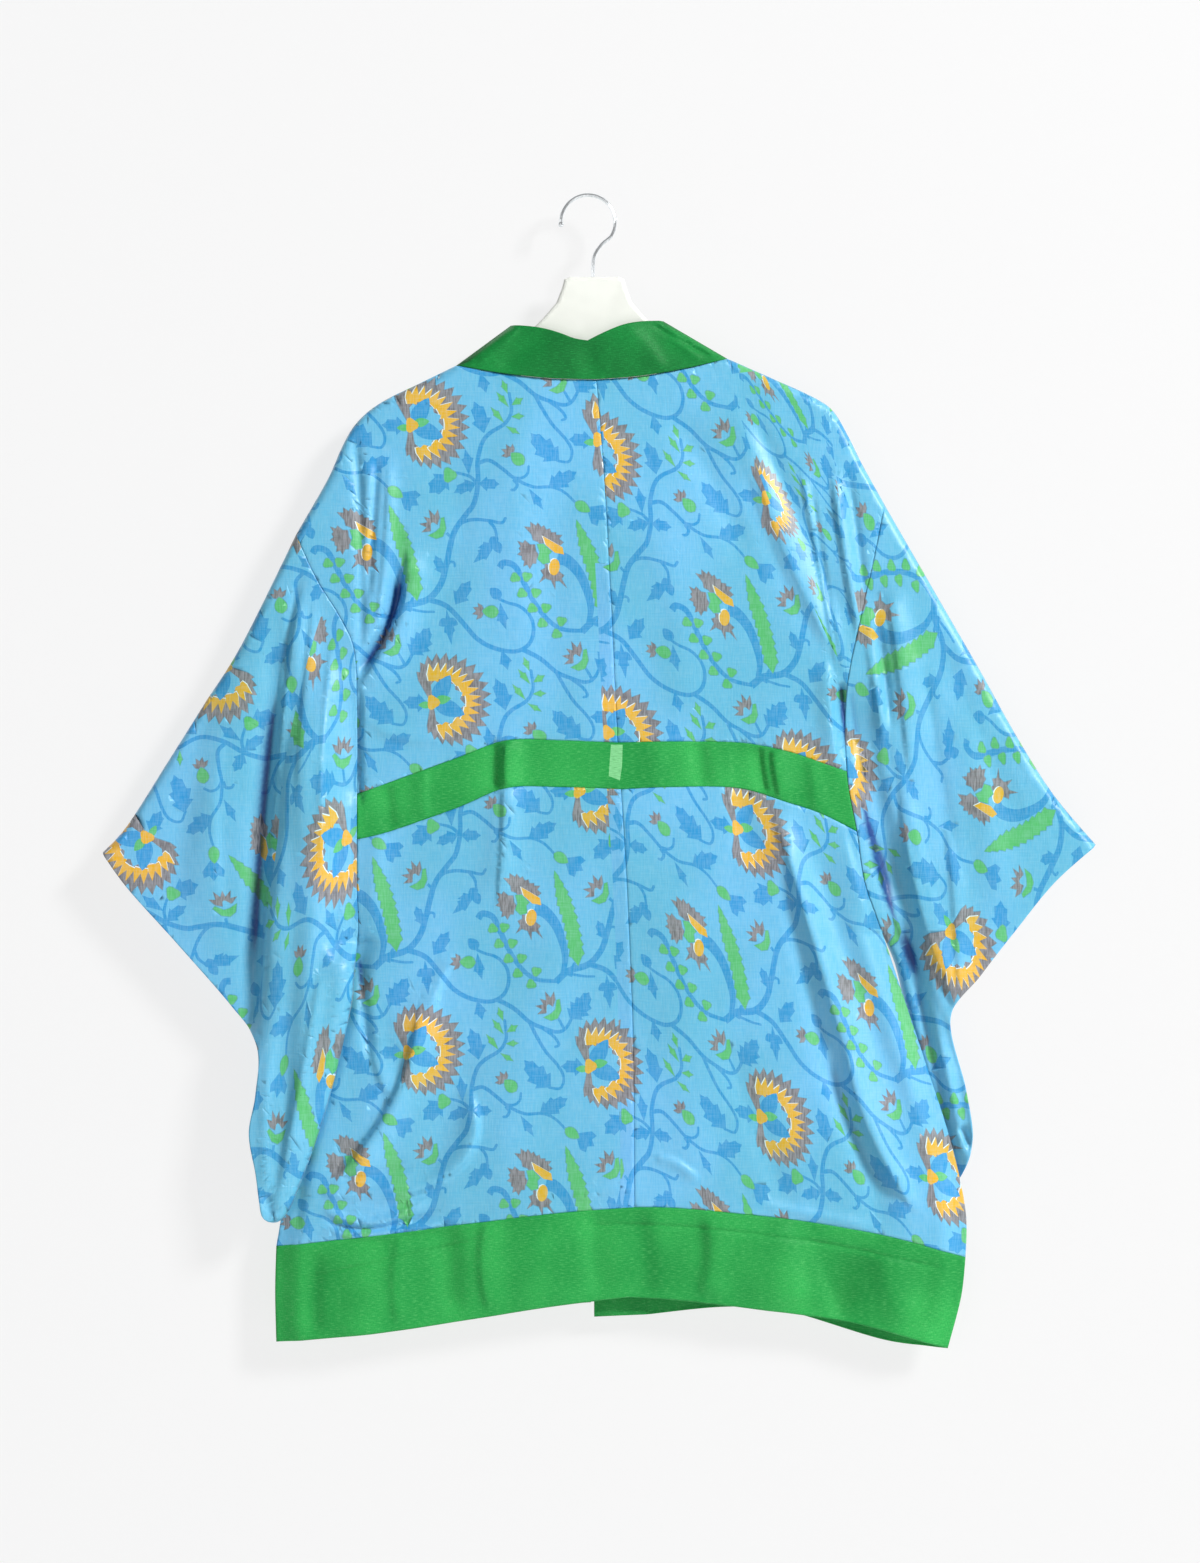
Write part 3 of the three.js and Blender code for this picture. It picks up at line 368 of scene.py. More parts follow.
def fold_curve(x0, z0, x1, z1, x2, z2, parts):
    """The smooth curve through a fold's three points."""
    t = np.linspace(0, 1, parts + 1)[:, None]
    start, middle, end = (np.array(v, float) for v in ((x0, z0), (x1, z1), (x2, z2)))
    return (1 - t) ** 2 * start + 2 * t * (1 - t) * (2 * middle - (start + end) / 2) + t ** 2 * end


def fold_rows(folds):
    """Places beside the sharp folds, where a mesh needs more of them."""
    rows = []
    for x0, z0, x1, z1, x2, z2, _, width_left, width_right in folds:
        if min(width_left, width_right) > SHARP_WIDTH:
            continue
        length = math.hypot(x2 - x0, z2 - z0)
        curve = fold_curve(x0, z0, x1, z1, x2, z2, max(4, round(length / FOLD_ROW_STEP)))
        along = np.gradient(curve, axis=0)
        left = np.stack([along[:, 1], -along[:, 0]], -1) / np.hypot(*along.T)[:, None]
        rows.append(curve)
        for width, sign in ((width_left, 1), (width_right, -1)):
            if width <= SHARP_WIDTH + 1:
                rows.extend(curve + sign * width * share * left for share in FOLD_ROW_SHARES)
    places = np.vstack(rows)
    _, first = np.unique(np.round(places / CROWDED), axis=0, return_index=True)
    return places[np.sort(first)]


def folds_at(folds, x, z):
    """Sum of the folds' heights at many places."""
    total = np.zeros_like(x)
    for x0, z0, x1, z1, x2, z2, rise, width_left, width_right in folds:
        reach = REACH * max(width_left, width_right)
        near = (x > min(x0, x1, x2) - reach) & (x < max(x0, x1, x2) + reach)
        near &= (z > min(z0, z1, z2) - reach) & (z < max(z0, z1, z2) + reach)
        if not near.any():
            continue
        cx, cz = fold_curve(x0, z0, x1, z1, x2, z2, FOLD_PARTS).T
        px, pz = x[near], z[near]
        best = np.full(px.shape, FAR)
        width = np.full(px.shape, width_left)
        along = np.zeros(px.shape)
        for part, (ax, az, bx, bz) in enumerate(zip(cx, cz, cx[1:], cz[1:])):
            dx, dz = bx - ax, bz - az
            share = np.clip(((px - ax) * dx + (pz - az) * dz) / (dx * dx + dz * dz), 0, 1)
            away = np.hypot(px - ax - share * dx, pz - az - share * dz)
            closer = away < best
            best = np.where(closer, away, best)
            on_right = dx * (pz - az) - dz * (px - ax) > 0
            width = np.where(closer, np.where(on_right, width_right, width_left), width)
            along = np.where(closer, (part + share) / FOLD_PARTS, along)
        ends = smooth(np.minimum(along, 1 - along) / FOLD_END + FOLD_END_START)
        total[near] += rise * ends * np.exp(-((best / width) ** 2))
    return total


print("a fold is read in", FOLD_PARTS, "parts")

# %% [markdown]
# The jacket's body is two walls, back and front, that meet at the side seams and turn over at the
# shoulders. Each wall is read as a depth over its flat pattern, as a maker reads ease into one.
# A sleeve is the same, but its hanging part stands off the body and steps at its long fold. Its
# two walls close along its top, so that nothing dark shows between sleeve and shoulder.

# %% The form of body, neck and sleeves
FOLD_RADIUS = 6.5
BODY_HALF_DEPTH = 9.5
SWELL_FROM, SWELL_OVER = -200, 120
FOLDS_FROM, FOLDS_OVER = -165, 60
SEAM_HALF_DEPTH = 0.9
SIDE_SWELL = 26
ARMHOLE_CLOSE = 60
NECK_EASE, NECK_EASE_OVER = 2, 40
COLLAR_LEAN, COLLAR_LEAN_SHARE = 4, 0.3
SLEEVE_HALF_DEPTH, SLEEVE_ROLL = 9, 16
SLEEVE_SEAM_REACH = 36  # millimetres from the armhole over which the sleeve takes its own depth
SLEEVE_FOLD_SHARE = 0.8
HANG_FROM, HANG_OVER = -380, 160
HANG_SHIFT, SHIFT_BEFORE, SHIFT_OVER = 15, 10, 34
HANG_LIFT, LIFT_BEFORE, LIFT_OVER = 5, 4, 12
COARSE, SEAM_COARSE = 8, 3  # distances to a long line use every eighth or third of its samples


def quarter(t):
    """A quarter circle, from 0 to 1."""
    return np.sqrt(1 - (1 - np.clip(t, 0, 1)) ** 2)


def mix(a, b, share):
    return a + (b - a) * share


def distance_to(points, line):
    """Distance of many places to a polyline."""
    best = np.full(len(points), FAR)
    for a, b in zip(line, line[1:]):
        d = b - a
        share = np.clip(((points - a) @ d) / max(d @ d, 1e-9), 0, 1)
        best = np.minimum(best, np.hypot(*(points - a - share[:, None] * d).T))
    return best


def side_at(half, z):
    """x of the body's side at a height, down to the hem."""
    lowest = half["side"].samples[-1, 1]
    return np.where(z > lowest, half["side"].across(z), half["hem_side"].across(z))


def body_half_depth(half, folds, x, z):
    """How far a wall of the body stands from its middle."""
    swell = smooth((SWELL_FROM - z) / SWELL_OVER)
    full = mix(FOLD_RADIUS, BODY_HALF_DEPTH, swell)
    full += folds_at(folds, x, z) * smooth((FOLDS_FROM - z) / FOLDS_OVER)
    at_seam = mix(SEAM_HALF_DEPTH, full, quarter((z - half["underarm"]) / ARMHOLE_CLOSE))
    inside = np.maximum(0, half["sign"] * (side_at(half, z) - x))
    sides = mix(at_seam, full, smooth(inside / SIDE_SWELL))
    return np.where(z > half["side"].samples[0, 1], full, sides)


def neck_half_depth(half, x, z):
    """The same at the neck, where the collar's front edge closes the body."""
    corner, top = half["front_seam"].at(0), half["front_edge"].at(0)
    along = (top - corner) / np.hypot(*(top - corner))
    inside = -half["sign"] * ((x - corner[0]) * along[1] - (z - corner[1]) * along[0])
    return FOLD_RADIUS * quarter(inside / FOLD_RADIUS) + NECK_EASE * smooth(inside / NECK_EASE_OVER)


def body_depth(half, facing, points):
    """y of the body's wall. facing is 1 for the back, -1 for the fronts."""
    x, z = points.T
    folds = BACK_FOLDS if facing > 0 else FRONT_FOLDS
    depth = body_half_depth(half, folds, x, z)
    neck = half["neckline"].samples if facing > 0 else half["front_seam"].at([0, 0])
    top = np.vstack([half["shoulder"].samples, neck])
    turned = quarter(distance_to(points, top[::COARSE]) / FOLD_RADIUS)
    past_neck = half["sign"] * x < half["sign"] * half["shoulder"].at(1)[0]
    at_top = np.where(past_neck & (facing > 0), neck_half_depth(half, x, z), 0)
    near_top = z > half["side"].samples[0, 1] - FOLD_RADIUS
    depth = np.where(near_top, mix(np.minimum(at_top, depth), depth, turned), depth)
    return -facing * depth


def sleeve_depth(half, facing, points):
    """y of a sleeve's wall. It leaves the body's armhole and takes its own depth further out."""
    x, z = points.T
    sign = half["sign"]
    folds = BACK_FOLDS if facing > 0 else FRONT_FOLDS
    underarm_share = half["side"].share_at(half["underarm"])
    seam_line = half["side"].part(0, underarm_share)
    from_seam = distance_to(points, seam_line[::SEAM_COARSE])
    to_sleeve = smooth(from_seam / SLEEVE_SEAM_REACH)
    seam_z = np.clip(z, half["underarm"], half["side"].samples[0, 1])
    seam_x = half["side"].across(seam_z)
    seam_turn = quarter((half["side"].samples[0, 1] - seam_z) / FOLD_RADIUS)
    from_top = distance_to(points, half["sleeve_top"].samples[::COARSE])
    seam_depth = body_half_depth(half, folds, seam_x, seam_z) * seam_turn * quarter(from_top / FOLD_RADIUS)
    from_bottom = distance_to(points, half["sleeve_bottom"].samples[::COARSE])
    lens = np.minimum(quarter(from_top / FOLD_RADIUS), quarter(from_bottom / SLEEVE_ROLL))
    hanging = sign * (half["hang_fold"].across(z) - x)
    lower = smooth((HANG_FROM - z) / HANG_OVER)
    own = (SLEEVE_HALF_DEPTH + folds_at(SLEEVE_FOLDS, x, z) * SLEEVE_FOLD_SHARE) * lens
    shift = sign * HANG_SHIFT * smooth((hanging + SHIFT_BEFORE) / SHIFT_OVER) * lower * to_sleeve
    step = HANG_LIFT * lens if facing > 0 else 0
    lift = step * smooth((hanging + LIFT_BEFORE) / LIFT_OVER) * lower * to_sleeve
    return shift - facing * mix(seam_depth, own, to_sleeve) - lift


print("body is", 2 * BODY_HALF_DEPTH, "mm deep, a sleeve", 2 * SLEEVE_HALF_DEPTH, "mm")

# %% [markdown]
# The silk carries a trailing flower print. One repeat of it is charted motif by motif,
# as a printer draws a block: stems are tapering ribbons, leaves have toothed edges, and the large
# fan flower has a ragged grey ring, a yellow zigzag and petals round a heart. Chart units are
# 0.23 mm of cloth, across and down. Each motif comes from one function, so no picture is needed.

# %% Motif shapes
GROUND, VINE, YELLOW, GREY, GREEN, PALE, LINE_INK, SEAM_GROUND = range(8)
OUTLINE_WIDTH = 2.6
STEM_FULLNESS = 1.25  # the cloth's stems and leaves are a little fuller than the chart's
LEAF_FULLNESS = 1.3
TOOTH_STEP, TOOTH_NOTCH = 0.035, 0.62  # a leaf's teeth: their length in shares of it, and their depth
BLOB_CORNERS, BUMP = 14, 0.18
BLADE_STEPS = 59
BLADE_TOOTH_STEP, BLADE_TOOTH_NOTCH = 0.022, 0.7
chart = []  # (ink, points) in the order of printing


def smooth_through(points, parts=5):
    """More points on a smooth line through a few."""
    p = np.array(points, float)
    if len(p) < 3:
        return p
    before = np.vstack([2 * p[:1] - p[1:2], p[:-2]])
    after = np.vstack([p[2:], 2 * p[-1:] - p[-2:-1]])
    t = np.linspace(0, 1, parts, endpoint=False)[:, None]
    rows = []
    for i in range(len(p) - 1):
        a, b, c, d = before[i], p[i], p[i + 1], after[i]
        rows.append(0.5 * (2 * b + (c - a) * t + (2 * a - 5 * b + 4 * c - d) * t ** 2
                           + (3 * b - a - 3 * c + d) * t ** 3))
    return np.vstack([*rows, p[-1:]])


def normals_of(points):
    """Unit vectors square to a line, at each of its points."""
    along = np.gradient(points, axis=0)
    along /= np.hypot(*along.T)[:, None]
    return np.stack([-along[:, 1], along[:, 0]], -1)


def grown(points, by):
    """The same closed outline, a little larger."""
    p = np.asarray(points, float)
    along = np.roll(p, -1, 0) - np.roll(p, 1, 0)
    along /= np.maximum(np.hypot(*along.T), 1e-6)[:, None]
    area = np.sum(p[:, 0] * np.roll(p[:, 1], -1) - np.roll(p[:, 0], -1) * p[:, 1])
    outward = np.stack([along[:, 1], -along[:, 0]], -1) * np.sign(area)
    return p + by * outward


def put(ink, points, outlined=False):
    """Print one outline on the chart, over a thin darker edge where it is outlined."""
    if outlined:
        chart.append((LINE_INK, grown(points, OUTLINE_WIDTH)))
    chart.append((ink, np.asarray(points, float)))


def stem(start_width, end_width, *points):
    """A tapering ribbon with a round tip."""
    route = smooth_through(points)
    width = STEM_FULLNESS * np.linspace(start_width, end_width, len(route))[:, None] / 2
    side = normals_of(route) * width
    tip = route[-1] + (route[-1] - route[-2]) / np.hypot(*(route[-1] - route[-2])) * end_width / 2
    put(VINE, np.vstack([route + side, tip[None], (route - side)[::-1]]))


def leaf(ink, base, tip, width, teeth=0, bend=0.0, outlined=False):
    """A leaf from its base to its tip, with teeth that point towards the tip."""
    base, tip = np.array(base, float), np.array(tip, float)
    along = tip - base
    across = np.array([-along[1], along[0]]) / np.hypot(*along)
    if teeth:
        tooth = np.arange(1, teeth + 1) / (teeth + 0.6)
        shares = np.sort(np.concatenate([tooth, tooth + TOOTH_STEP]))
        high = np.tile([1.0, TOOTH_NOTCH], teeth)
    else:
        shares = np.linspace(0.12, 0.9, 6)
        high = 1.0
    swell = width / 2 * np.sin(np.pi * np.clip(shares, 0, 0.98) ** 0.8) ** 0.75 * high
    middle = base + shares[:, None] * along + (bend * np.sin(np.pi * shares))[:, None] * across
    right, left = middle + swell[:, None] * across, middle - swell[:, None] * across
    put(ink, np.vstack([base[None], right, tip[None], left[::-1]]), outlined)


def petals(ink, centre, start, end, inner, outer, teeth, depth, outlined=False):
    """A ragged ring or fan round a centre, between two angles in degrees, upwards from the right.

    inner is the radius of its inner edge, or the points that close it.
    """
    corners = 2 * teeth + 1
    turn = np.radians(np.linspace(start, end, corners))
    known = np.radians(np.linspace(*sorted((start, end)), len(outer)))
    reach = np.interp(turn, known, outer if end > start else outer[::-1])
    reach = np.where(np.arange(corners) % 2, reach, reach * (1 - depth))
    rim = np.stack([reach * np.cos(turn), -reach * np.sin(turn)], -1)
    if np.isscalar(inner):
        back = np.array([(inner * math.cos(a), -inner * math.sin(a)) for a in turn[::-2]])
    else:
        back = np.array(inner, float)
    put(ink, np.array(centre) + np.vstack([rim, back]), outlined)


def blob(ink, centre, wide, high, tilt=0, bumps=0, outlined=False):
    """A small rounded shape, with bumps where it is a heart or a calyx."""
    turn = np.linspace(0, 2 * np.pi, BLOB_CORNERS, endpoint=False)
    reach = 1 + BUMP * np.cos(bumps * turn) if bumps else 1
    x, y = wide / 2 * reach * np.cos(turn), high / 2 * reach * np.sin(turn)
    c, s = math.cos(math.radians(tilt)), math.sin(math.radians(tilt))
    put(ink, np.array(centre) + np.stack([c * x - s * y, s * x + c * y], -1), outlined)


def shape(ink, *points, outlined=True):
    """A motif given corner by corner."""
    put(ink, np.array(points, float), outlined)


print("inks:", SEAM_GROUND + 1)

# %% [markdown]
# The big flowers come first. A ragged fan is one closed outline whose rim steps in and out, so
# each smaller fan is simply printed over the last: grey, then yellow bundles that each lie over a
# pale misprint, then blue.

# %% Flowers and buds
FAN_REACH = (120, 180, 200, 218, 232, 230, 226, 226, 200, 160, 112)
FAN_BUNDLES = (
    # from and to an angle, inner reach, outer reach at three places
    (102, 76, 84, (146, 160, 158)), (77, 55, 96, (158, 172, 164)), (56, 35, 112, (172, 186, 172)),
    (36, 13, 118, (180, 196, 182)), (14, -7, 130, (184, 198, 184)), (-6, -30, 124, (182, 190, 178)),
    (-29, -54, 108, (168, 178, 164)), (-53, -80, 90, (156, 160, 146)),
)


def fan_flower(x, y):
    """The large flower, seen from its side as a fan."""
    leaf(VINE, (x - 20, y + 4), (x - 118, y + 2), 74, teeth=2)
    petals(GREY, (x, y), 124, -104, [(-8, 0)], FAN_REACH, 21, 0.15, outlined=True)
    for start, end, inner, outer in reversed(FAN_BUNDLES):
        for ink, dx, dy in ((PALE, -4, -1), (YELLOW, 0, 0)):
            petals(ink, (x + dx, y + dy), start, end, inner, outer, 2, 0.24)
    petals(GROUND, (x, y), 97, -80, [(0, 0)], (80, 94, 110, 122, 126, 120, 106, 86), 8, 0.14)
    for angle, reach, width in ((58, 128, 64), (-20, 132, 66)):
        tip = (x + reach * math.cos(math.radians(angle)), y - reach * math.sin(math.radians(angle)))
        leaf(VINE, (x + 4, y), tip, width)
    leaf(GREEN, (x + 8, y - 6), (x + 70, y - 18), 36)
    leaf(GREEN, (x - 8, y + 10), (x - 58, y + 12), 28)
    blob(YELLOW, (x, y), 48, 56, bumps=3)


def ragged(ink, centre, tips, notch=0.8):
    """A ragged lobe: its tips round a centre, with a notch between each two."""
    tips = np.array(tips, float)
    notches = (tips + np.roll(tips, -1, 0)) / 2 * notch
    put(ink, np.array(centre) + np.stack([tips, notches], 1).reshape(-1, 2), True)


def three_lobed(x, y):
    """The middle-sized flower: three grey lobes and two yellow petals on a curved stalk."""
    stem(44, 14, (x + 60, y + 8), (x + 98, y + 18), (x + 142, y + 62), (x + 172, y + 125),
         (x + 190, y + 200), (x + 180, y + 268))
    ragged(GREY, (x + 8, y - 62), (
        (-44, 2), (-78, -50), (-54, -68), (-26, -66), (-2, -56), (22, -44), (46, -30),
        (70, -20), (76, 8), (74, 48), (46, 38), (10, 10), (-16, 20)))
    ragged(GREY, (x - 44, y - 8), (
        (16, -34), (-24, -50), (-52, -46), (-46, -18), (-52, 6), (-34, 26), (-28, 52),
        (-4, 62), (20, 40), (34, 12)))
    ragged(GREY, (x + 38, y + 62), (
        (-30, -34), (-44, -4), (-50, 46), (-22, 28), (14, 70), (24, 36), (60, 64),
        (48, 14), (28, -20)), 0.7)
    for ink, px, py in ((PALE, x - 4, y - 3), (YELLOW, x, y)):
        shape(ink, (px + 2, py - 76), (px + 40, py - 56), (px + 80, py - 34), (px + 86, py - 6),
              (px + 50, py - 12), (px + 14, py - 42), outlined=False)
        blob(ink, (px + 48, py + 44), 42, 66, tilt=8)
    shape(GREEN, (x - 20, y - 44), (x + 6, y - 46), (x + 38, y - 16), (x + 26, y - 4), (x + 30, y + 26),
          (x + 4, y + 34), (x - 18, y + 14), (x - 10, y - 12))


def bud(x, y, angle, size=52):
    """A closed bud: a ragged tip over a green cup."""
    c, s = math.cos(math.radians(angle)), -math.sin(math.radians(angle))
    tip = (size * 0.75, size, size * 0.85)
    petals(GREY, (x, y), angle - 62, angle + 62, [(0, 0)], tip, 4, 0.35, outlined=True)
    foot = (x - c * size * 1.05, y - s * size * 1.05)
    leaf(GREEN, foot, (x + c * size * 0.2, y + s * size * 0.2), size * 0.95, outlined=True)


def open_bud(x, y):
    """An open bud in a V-shaped cup."""
    petals(GREY, (x, y), 72, 218, [(0, 0)], (60, 74, 62, 70, 60), 5, 0.42, outlined=True)
    blob(GROUND, (x - 10, y + 4), 30, 34, bumps=3)
    shape(GREEN, (x - 34, y + 38), (x - 2, y + 50), (x + 24, y + 40), (x + 36, y + 8), (x + 28, y - 36),
          (x + 16, y - 32), (x + 12, y + 6), (x - 4, y + 22))


def toothed_blade(points, width, teeth):
    """The long serrated leaf, from its tip to its base."""
    blade = Line(*points)
    tooth = np.arange(1, teeth) / teeth
    shares = np.sort(np.concatenate([tooth, tooth - BLADE_TOOTH_STEP]))
    high = np.tile([1.0, BLADE_TOOTH_NOTCH], teeth - 1)
    from_tip = np.minimum(1, shares * 3.2) ** 0.8
    from_base = np.minimum(1, (1.02 - shares) * 7) ** 0.6
    swell = width / 2 * from_tip * from_base * high
    normals = normals_of(blade.at(np.linspace(0, 1, BLADE_STEPS + 1)))
    side = normals[(shares * BLADE_STEPS).astype(int)] * swell[:, None]
    middle = blade.at(shares)
    put(GREEN, np.vstack([blade.at(0)[None], middle + side, blade.at(1)[None], (middle - side)[::-1]]),
        outlined=True)


# %% [markdown]
# One repeat of the print, about 168 by 250 mm of cloth: a rising stem that ends in a sprig, its
# side branches, a looping tendril, and the flowers and leaves in their places.

# %% One repeat of the print
REPEAT_ACROSS = np.array([730.0, 40.0])
REPEAT_DOWN = np.array([85.0, 1085.0])
CHART_START = np.array([125.0, 180.0])  # the fan flower's heart

STEMS = (
    # width at its start and at its end, then its route
    (22, 10, (60, 935), (110, 890), (190, 862), (240, 800), (262, 720), (290, 600), (335, 530), (370, 480),
     (385, 400), (383, 320), (400, 245), (430, 205), (490, 165), (515, 115), (506, 45)),
    (13, 8, (386, 322), (430, 312), (482, 345), (530, 382), (600, 412), (670, 410), (722, 430), (770, 474)),
    (9, 8, (522, 378), (556, 378), (578, 360), (582, 330)),
    (12, 8, (524, 384), (538, 404), (528, 424), (514, 426)),
    (12, 8, (385, 404), (350, 375), (300, 362)),
    (12, 9, (290, 602), (320, 560), (370, 545), (430, 549), (478, 556), (493, 536)),
    (11, 8, (428, 550), (452, 582), (460, 632)),
    (17, 8, (190, 862), (262, 886), (322, 946), (382, 1012), (452, 1048), (532, 1058), (584, 1028),
     (602, 972), (588, 918), (548, 882), (500, 868), (466, 852), (440, 826)),
    (15, 9, (560, 1050), (628, 1084), (690, 1134), (742, 1156), (800, 1172), (836, 1158), (862, 1112),
     (882, 1076)),
    (12, 8, (690, 1134), (722, 1192), (760, 1250), (812, 1306), (836, 1352), (824, 1394), (778, 1392)),
    (11, 8, (742, 1156), (790, 1190), (812, 1222), (796, 1232)),
    (22, 12, (470, 732), (486, 712), (528, 724), (560, 780), (602, 860), (652, 926), (712, 966), (792, 972)),
    (10, 8, (262, 600), (286, 622)),
    (10, 8, (830, 1160), (806, 1118)),
    (14, 10, (846, 952), (862, 900)),
    (10, 7, (256, 750), (272, 716), (292, 716), (294, 732)),
    (9, 7, (836, 940), (900, 950), (945, 950)),
)
LEAVES = (
    # base, tip, width, teeth, bend
    ((408, 205), (368, 80), 62, 2, 6), ((350, 372), (334, 268), 42, 1, 4),
    ((388, 404), (470, 404), 46, 2, 0), ((378, 402), (290, 442), 46, 2, 4),
    ((660, 412), (770, 348), 62, 3, 0), ((583, 418), (640, 502), 34, 1, 0),
    ((268, 372), (194, 446), 72, 2, 0), ((702, 306), (590, 200), 74, 3, -6),
    ((296, 880), (356, 784), 56, 2, 0), ((262, 900), (282, 1038), 40, 1, 0),
    ((266, 940), (232, 964), 26, 0, 0), ((266, 940), (308, 958), 26, 0, 0),
    ((472, 868), (496, 974), 42, 1, 6), ((474, 852), (432, 812), 34, 0, 0),
    ((478, 1054), (502, 1132), 46, 1, 0), ((852, 1120), (926, 1012), 74, 4, 8),
    ((250, 762), (218, 688), 40, 2, 0), ((458, 632), (366, 716), 44, 1, 0),
    ((456, 640), (434, 612), 34, 0, 0), ((452, 630), (472, 676), 30, 0, 0),
    ((452, 640), (384, 656), 34, 1, 0), ((778, 474), (800, 470), 12, 0, 0),
)
LEAFLETS = (
    # base, tip, width
    ((500, 48), (478, -6), 30), ((504, 100), (456, 42), 30), ((486, 162), (434, 102), 30),
    ((516, 92), (560, 64), 36), ((514, 138), (566, 134), 30), ((494, 176), (548, 206), 26),
)
BELLS = (
    # the small green bells of the loose spray: place and tilt
    (530, 770, 20), (576, 764, -20), (557, 830, 20), (611, 826, -20), (597, 888, 20), (650, 884, -20),
    (636, 945, 20), (711, 935, -20), (692, 986, 20),
)
for start_width, end_width, *route in STEMS:
    stem(start_width, end_width, *route)
for base, tip, width, teeth, bend in LEAVES:
    leaf(VINE, base, tip, LEAF_FULLNESS * width, teeth, bend)
for base, tip, width in LEAFLETS:
    leaf(GREEN, base, tip, width, teeth=1, outlined=True)
for x, y, tilt in BELLS:
    blob(GREEN, (x, y), 38, 36, tilt, bumps=3, outlined=True)
petals(VINE, (806, 486), 8, -72, [(0, 0)], (84, 92, 84), 3, 0.2)
leaf(GREEN, (764, 468), (822, 504), 42, outlined=True)
blob(GREEN, (273, 372), 50, 56, bumps=3, outlined=True)
toothed_blade([(768, 536), (802, 630), (840, 735), (862, 825), (878, 910)], 66, 11)
open_bud(224, 574)
open_bud(780, 1078)
bud(522, 288, 140)
bud(412, 904, 178)
three_lobed(635, 680)
fan_flower(*CHART_START)
print("one repeat has", len(chart), "printed shapes and", sum(len(points) for _, points in chart), "points")

# %% [markdown]
# A panel is cut out of printed cloth. A constrained Delaunay triangulation takes the cut outline,
# every motif's outline and a grid of points, and returns faces that know which motif they lie in.
# So the print's edges are true edges of the mesh and stay sharp at any size.

# %% Cutting a panel from the cloth
GRID_STEP = 3.8
ROW_STEP = GRID_STEP * 0.87  # rows of a grid of even triangles are closer than its places
EDGE_ROWS = (1.3, 3.0)  # rows of points just inside a cut edge
EDGE_KEEP = 0.8  # a row's places that come nearer to the edge than this share of it are left out
CREASE_CLEAR = EDGE_ROWS[-1] + 0.6  # millimetres that the folds' rows keep from the edge
GRID_CLEAR = EDGE_ROWS[-1] + GRID_STEP * 0.45  # and that the grid keeps
DOUBLED = 0.2  # corners that are nearer to each other than this are one corner
REPEATS = 7  # repeats of the print tried each way from a panel's own flower
CDT_EPSILON = 1e-4


def inside_of(points, outline):
    """Which points lie inside an outline."""
    x, y = points.T
    found = np.zeros(len(points), bool)
    for (ax, ay), (bx, by) in zip(outline, np.roll(outline, -1, 0)):
        crosses = (ay > y) != (by > y)
        if ay != by:
            found ^= crosses & (x < (bx - ax) * (y - ay) / (by - ay) + ax)
    return found


def anticlockwise(points):
    area = np.sum(points[:, 0] * np.roll(points[:, 1], -1) - np.roll(points[:, 0], -1) * points[:, 1])
    return points if area > 0 else points[::-1]


def closed(*parts):
    """One anticlockwise outline from lines that follow each other, without doubled corners."""
    points = np.vstack(parts)
    keep = np.hypot(*(points - np.roll(points, 1, 0)).T) > DOUBLED
    return anticlockwise(points[keep])


def printed_shapes(placing, low, high):
    """The motifs that touch a box of the flat cloth.

    placing is a fan flower's heart, the repeat across and the repeat down.
    """
    heart, across, down = (np.array(v, float) for v in placing)
    charted = np.column_stack([REPEAT_ACROSS, REPEAT_DOWN])
    chart_to_cloth = np.column_stack([across, down]) @ np.linalg.inv(charted)
    for ink, points in chart:
        flat = (points - CHART_START) @ chart_to_cloth.T + heart
        for i in range(-REPEATS, REPEATS + 1):
            for j in range(-REPEATS, REPEATS + 1):
                moved = flat + i * across + j * down
                if (moved.max(0) > low).all() and (moved.min(0) < high).all():
                    yield ink, moved


def clear_of(points, others):
    """The points that share no small square with the others."""
    if not others:
        return points
    taken = {tuple(cell) for cell in np.round(np.vstack(others) / CROWDED).astype(int)}
    return points[[tuple(cell) not in taken for cell in np.round(points / CROWDED).astype(int)]]


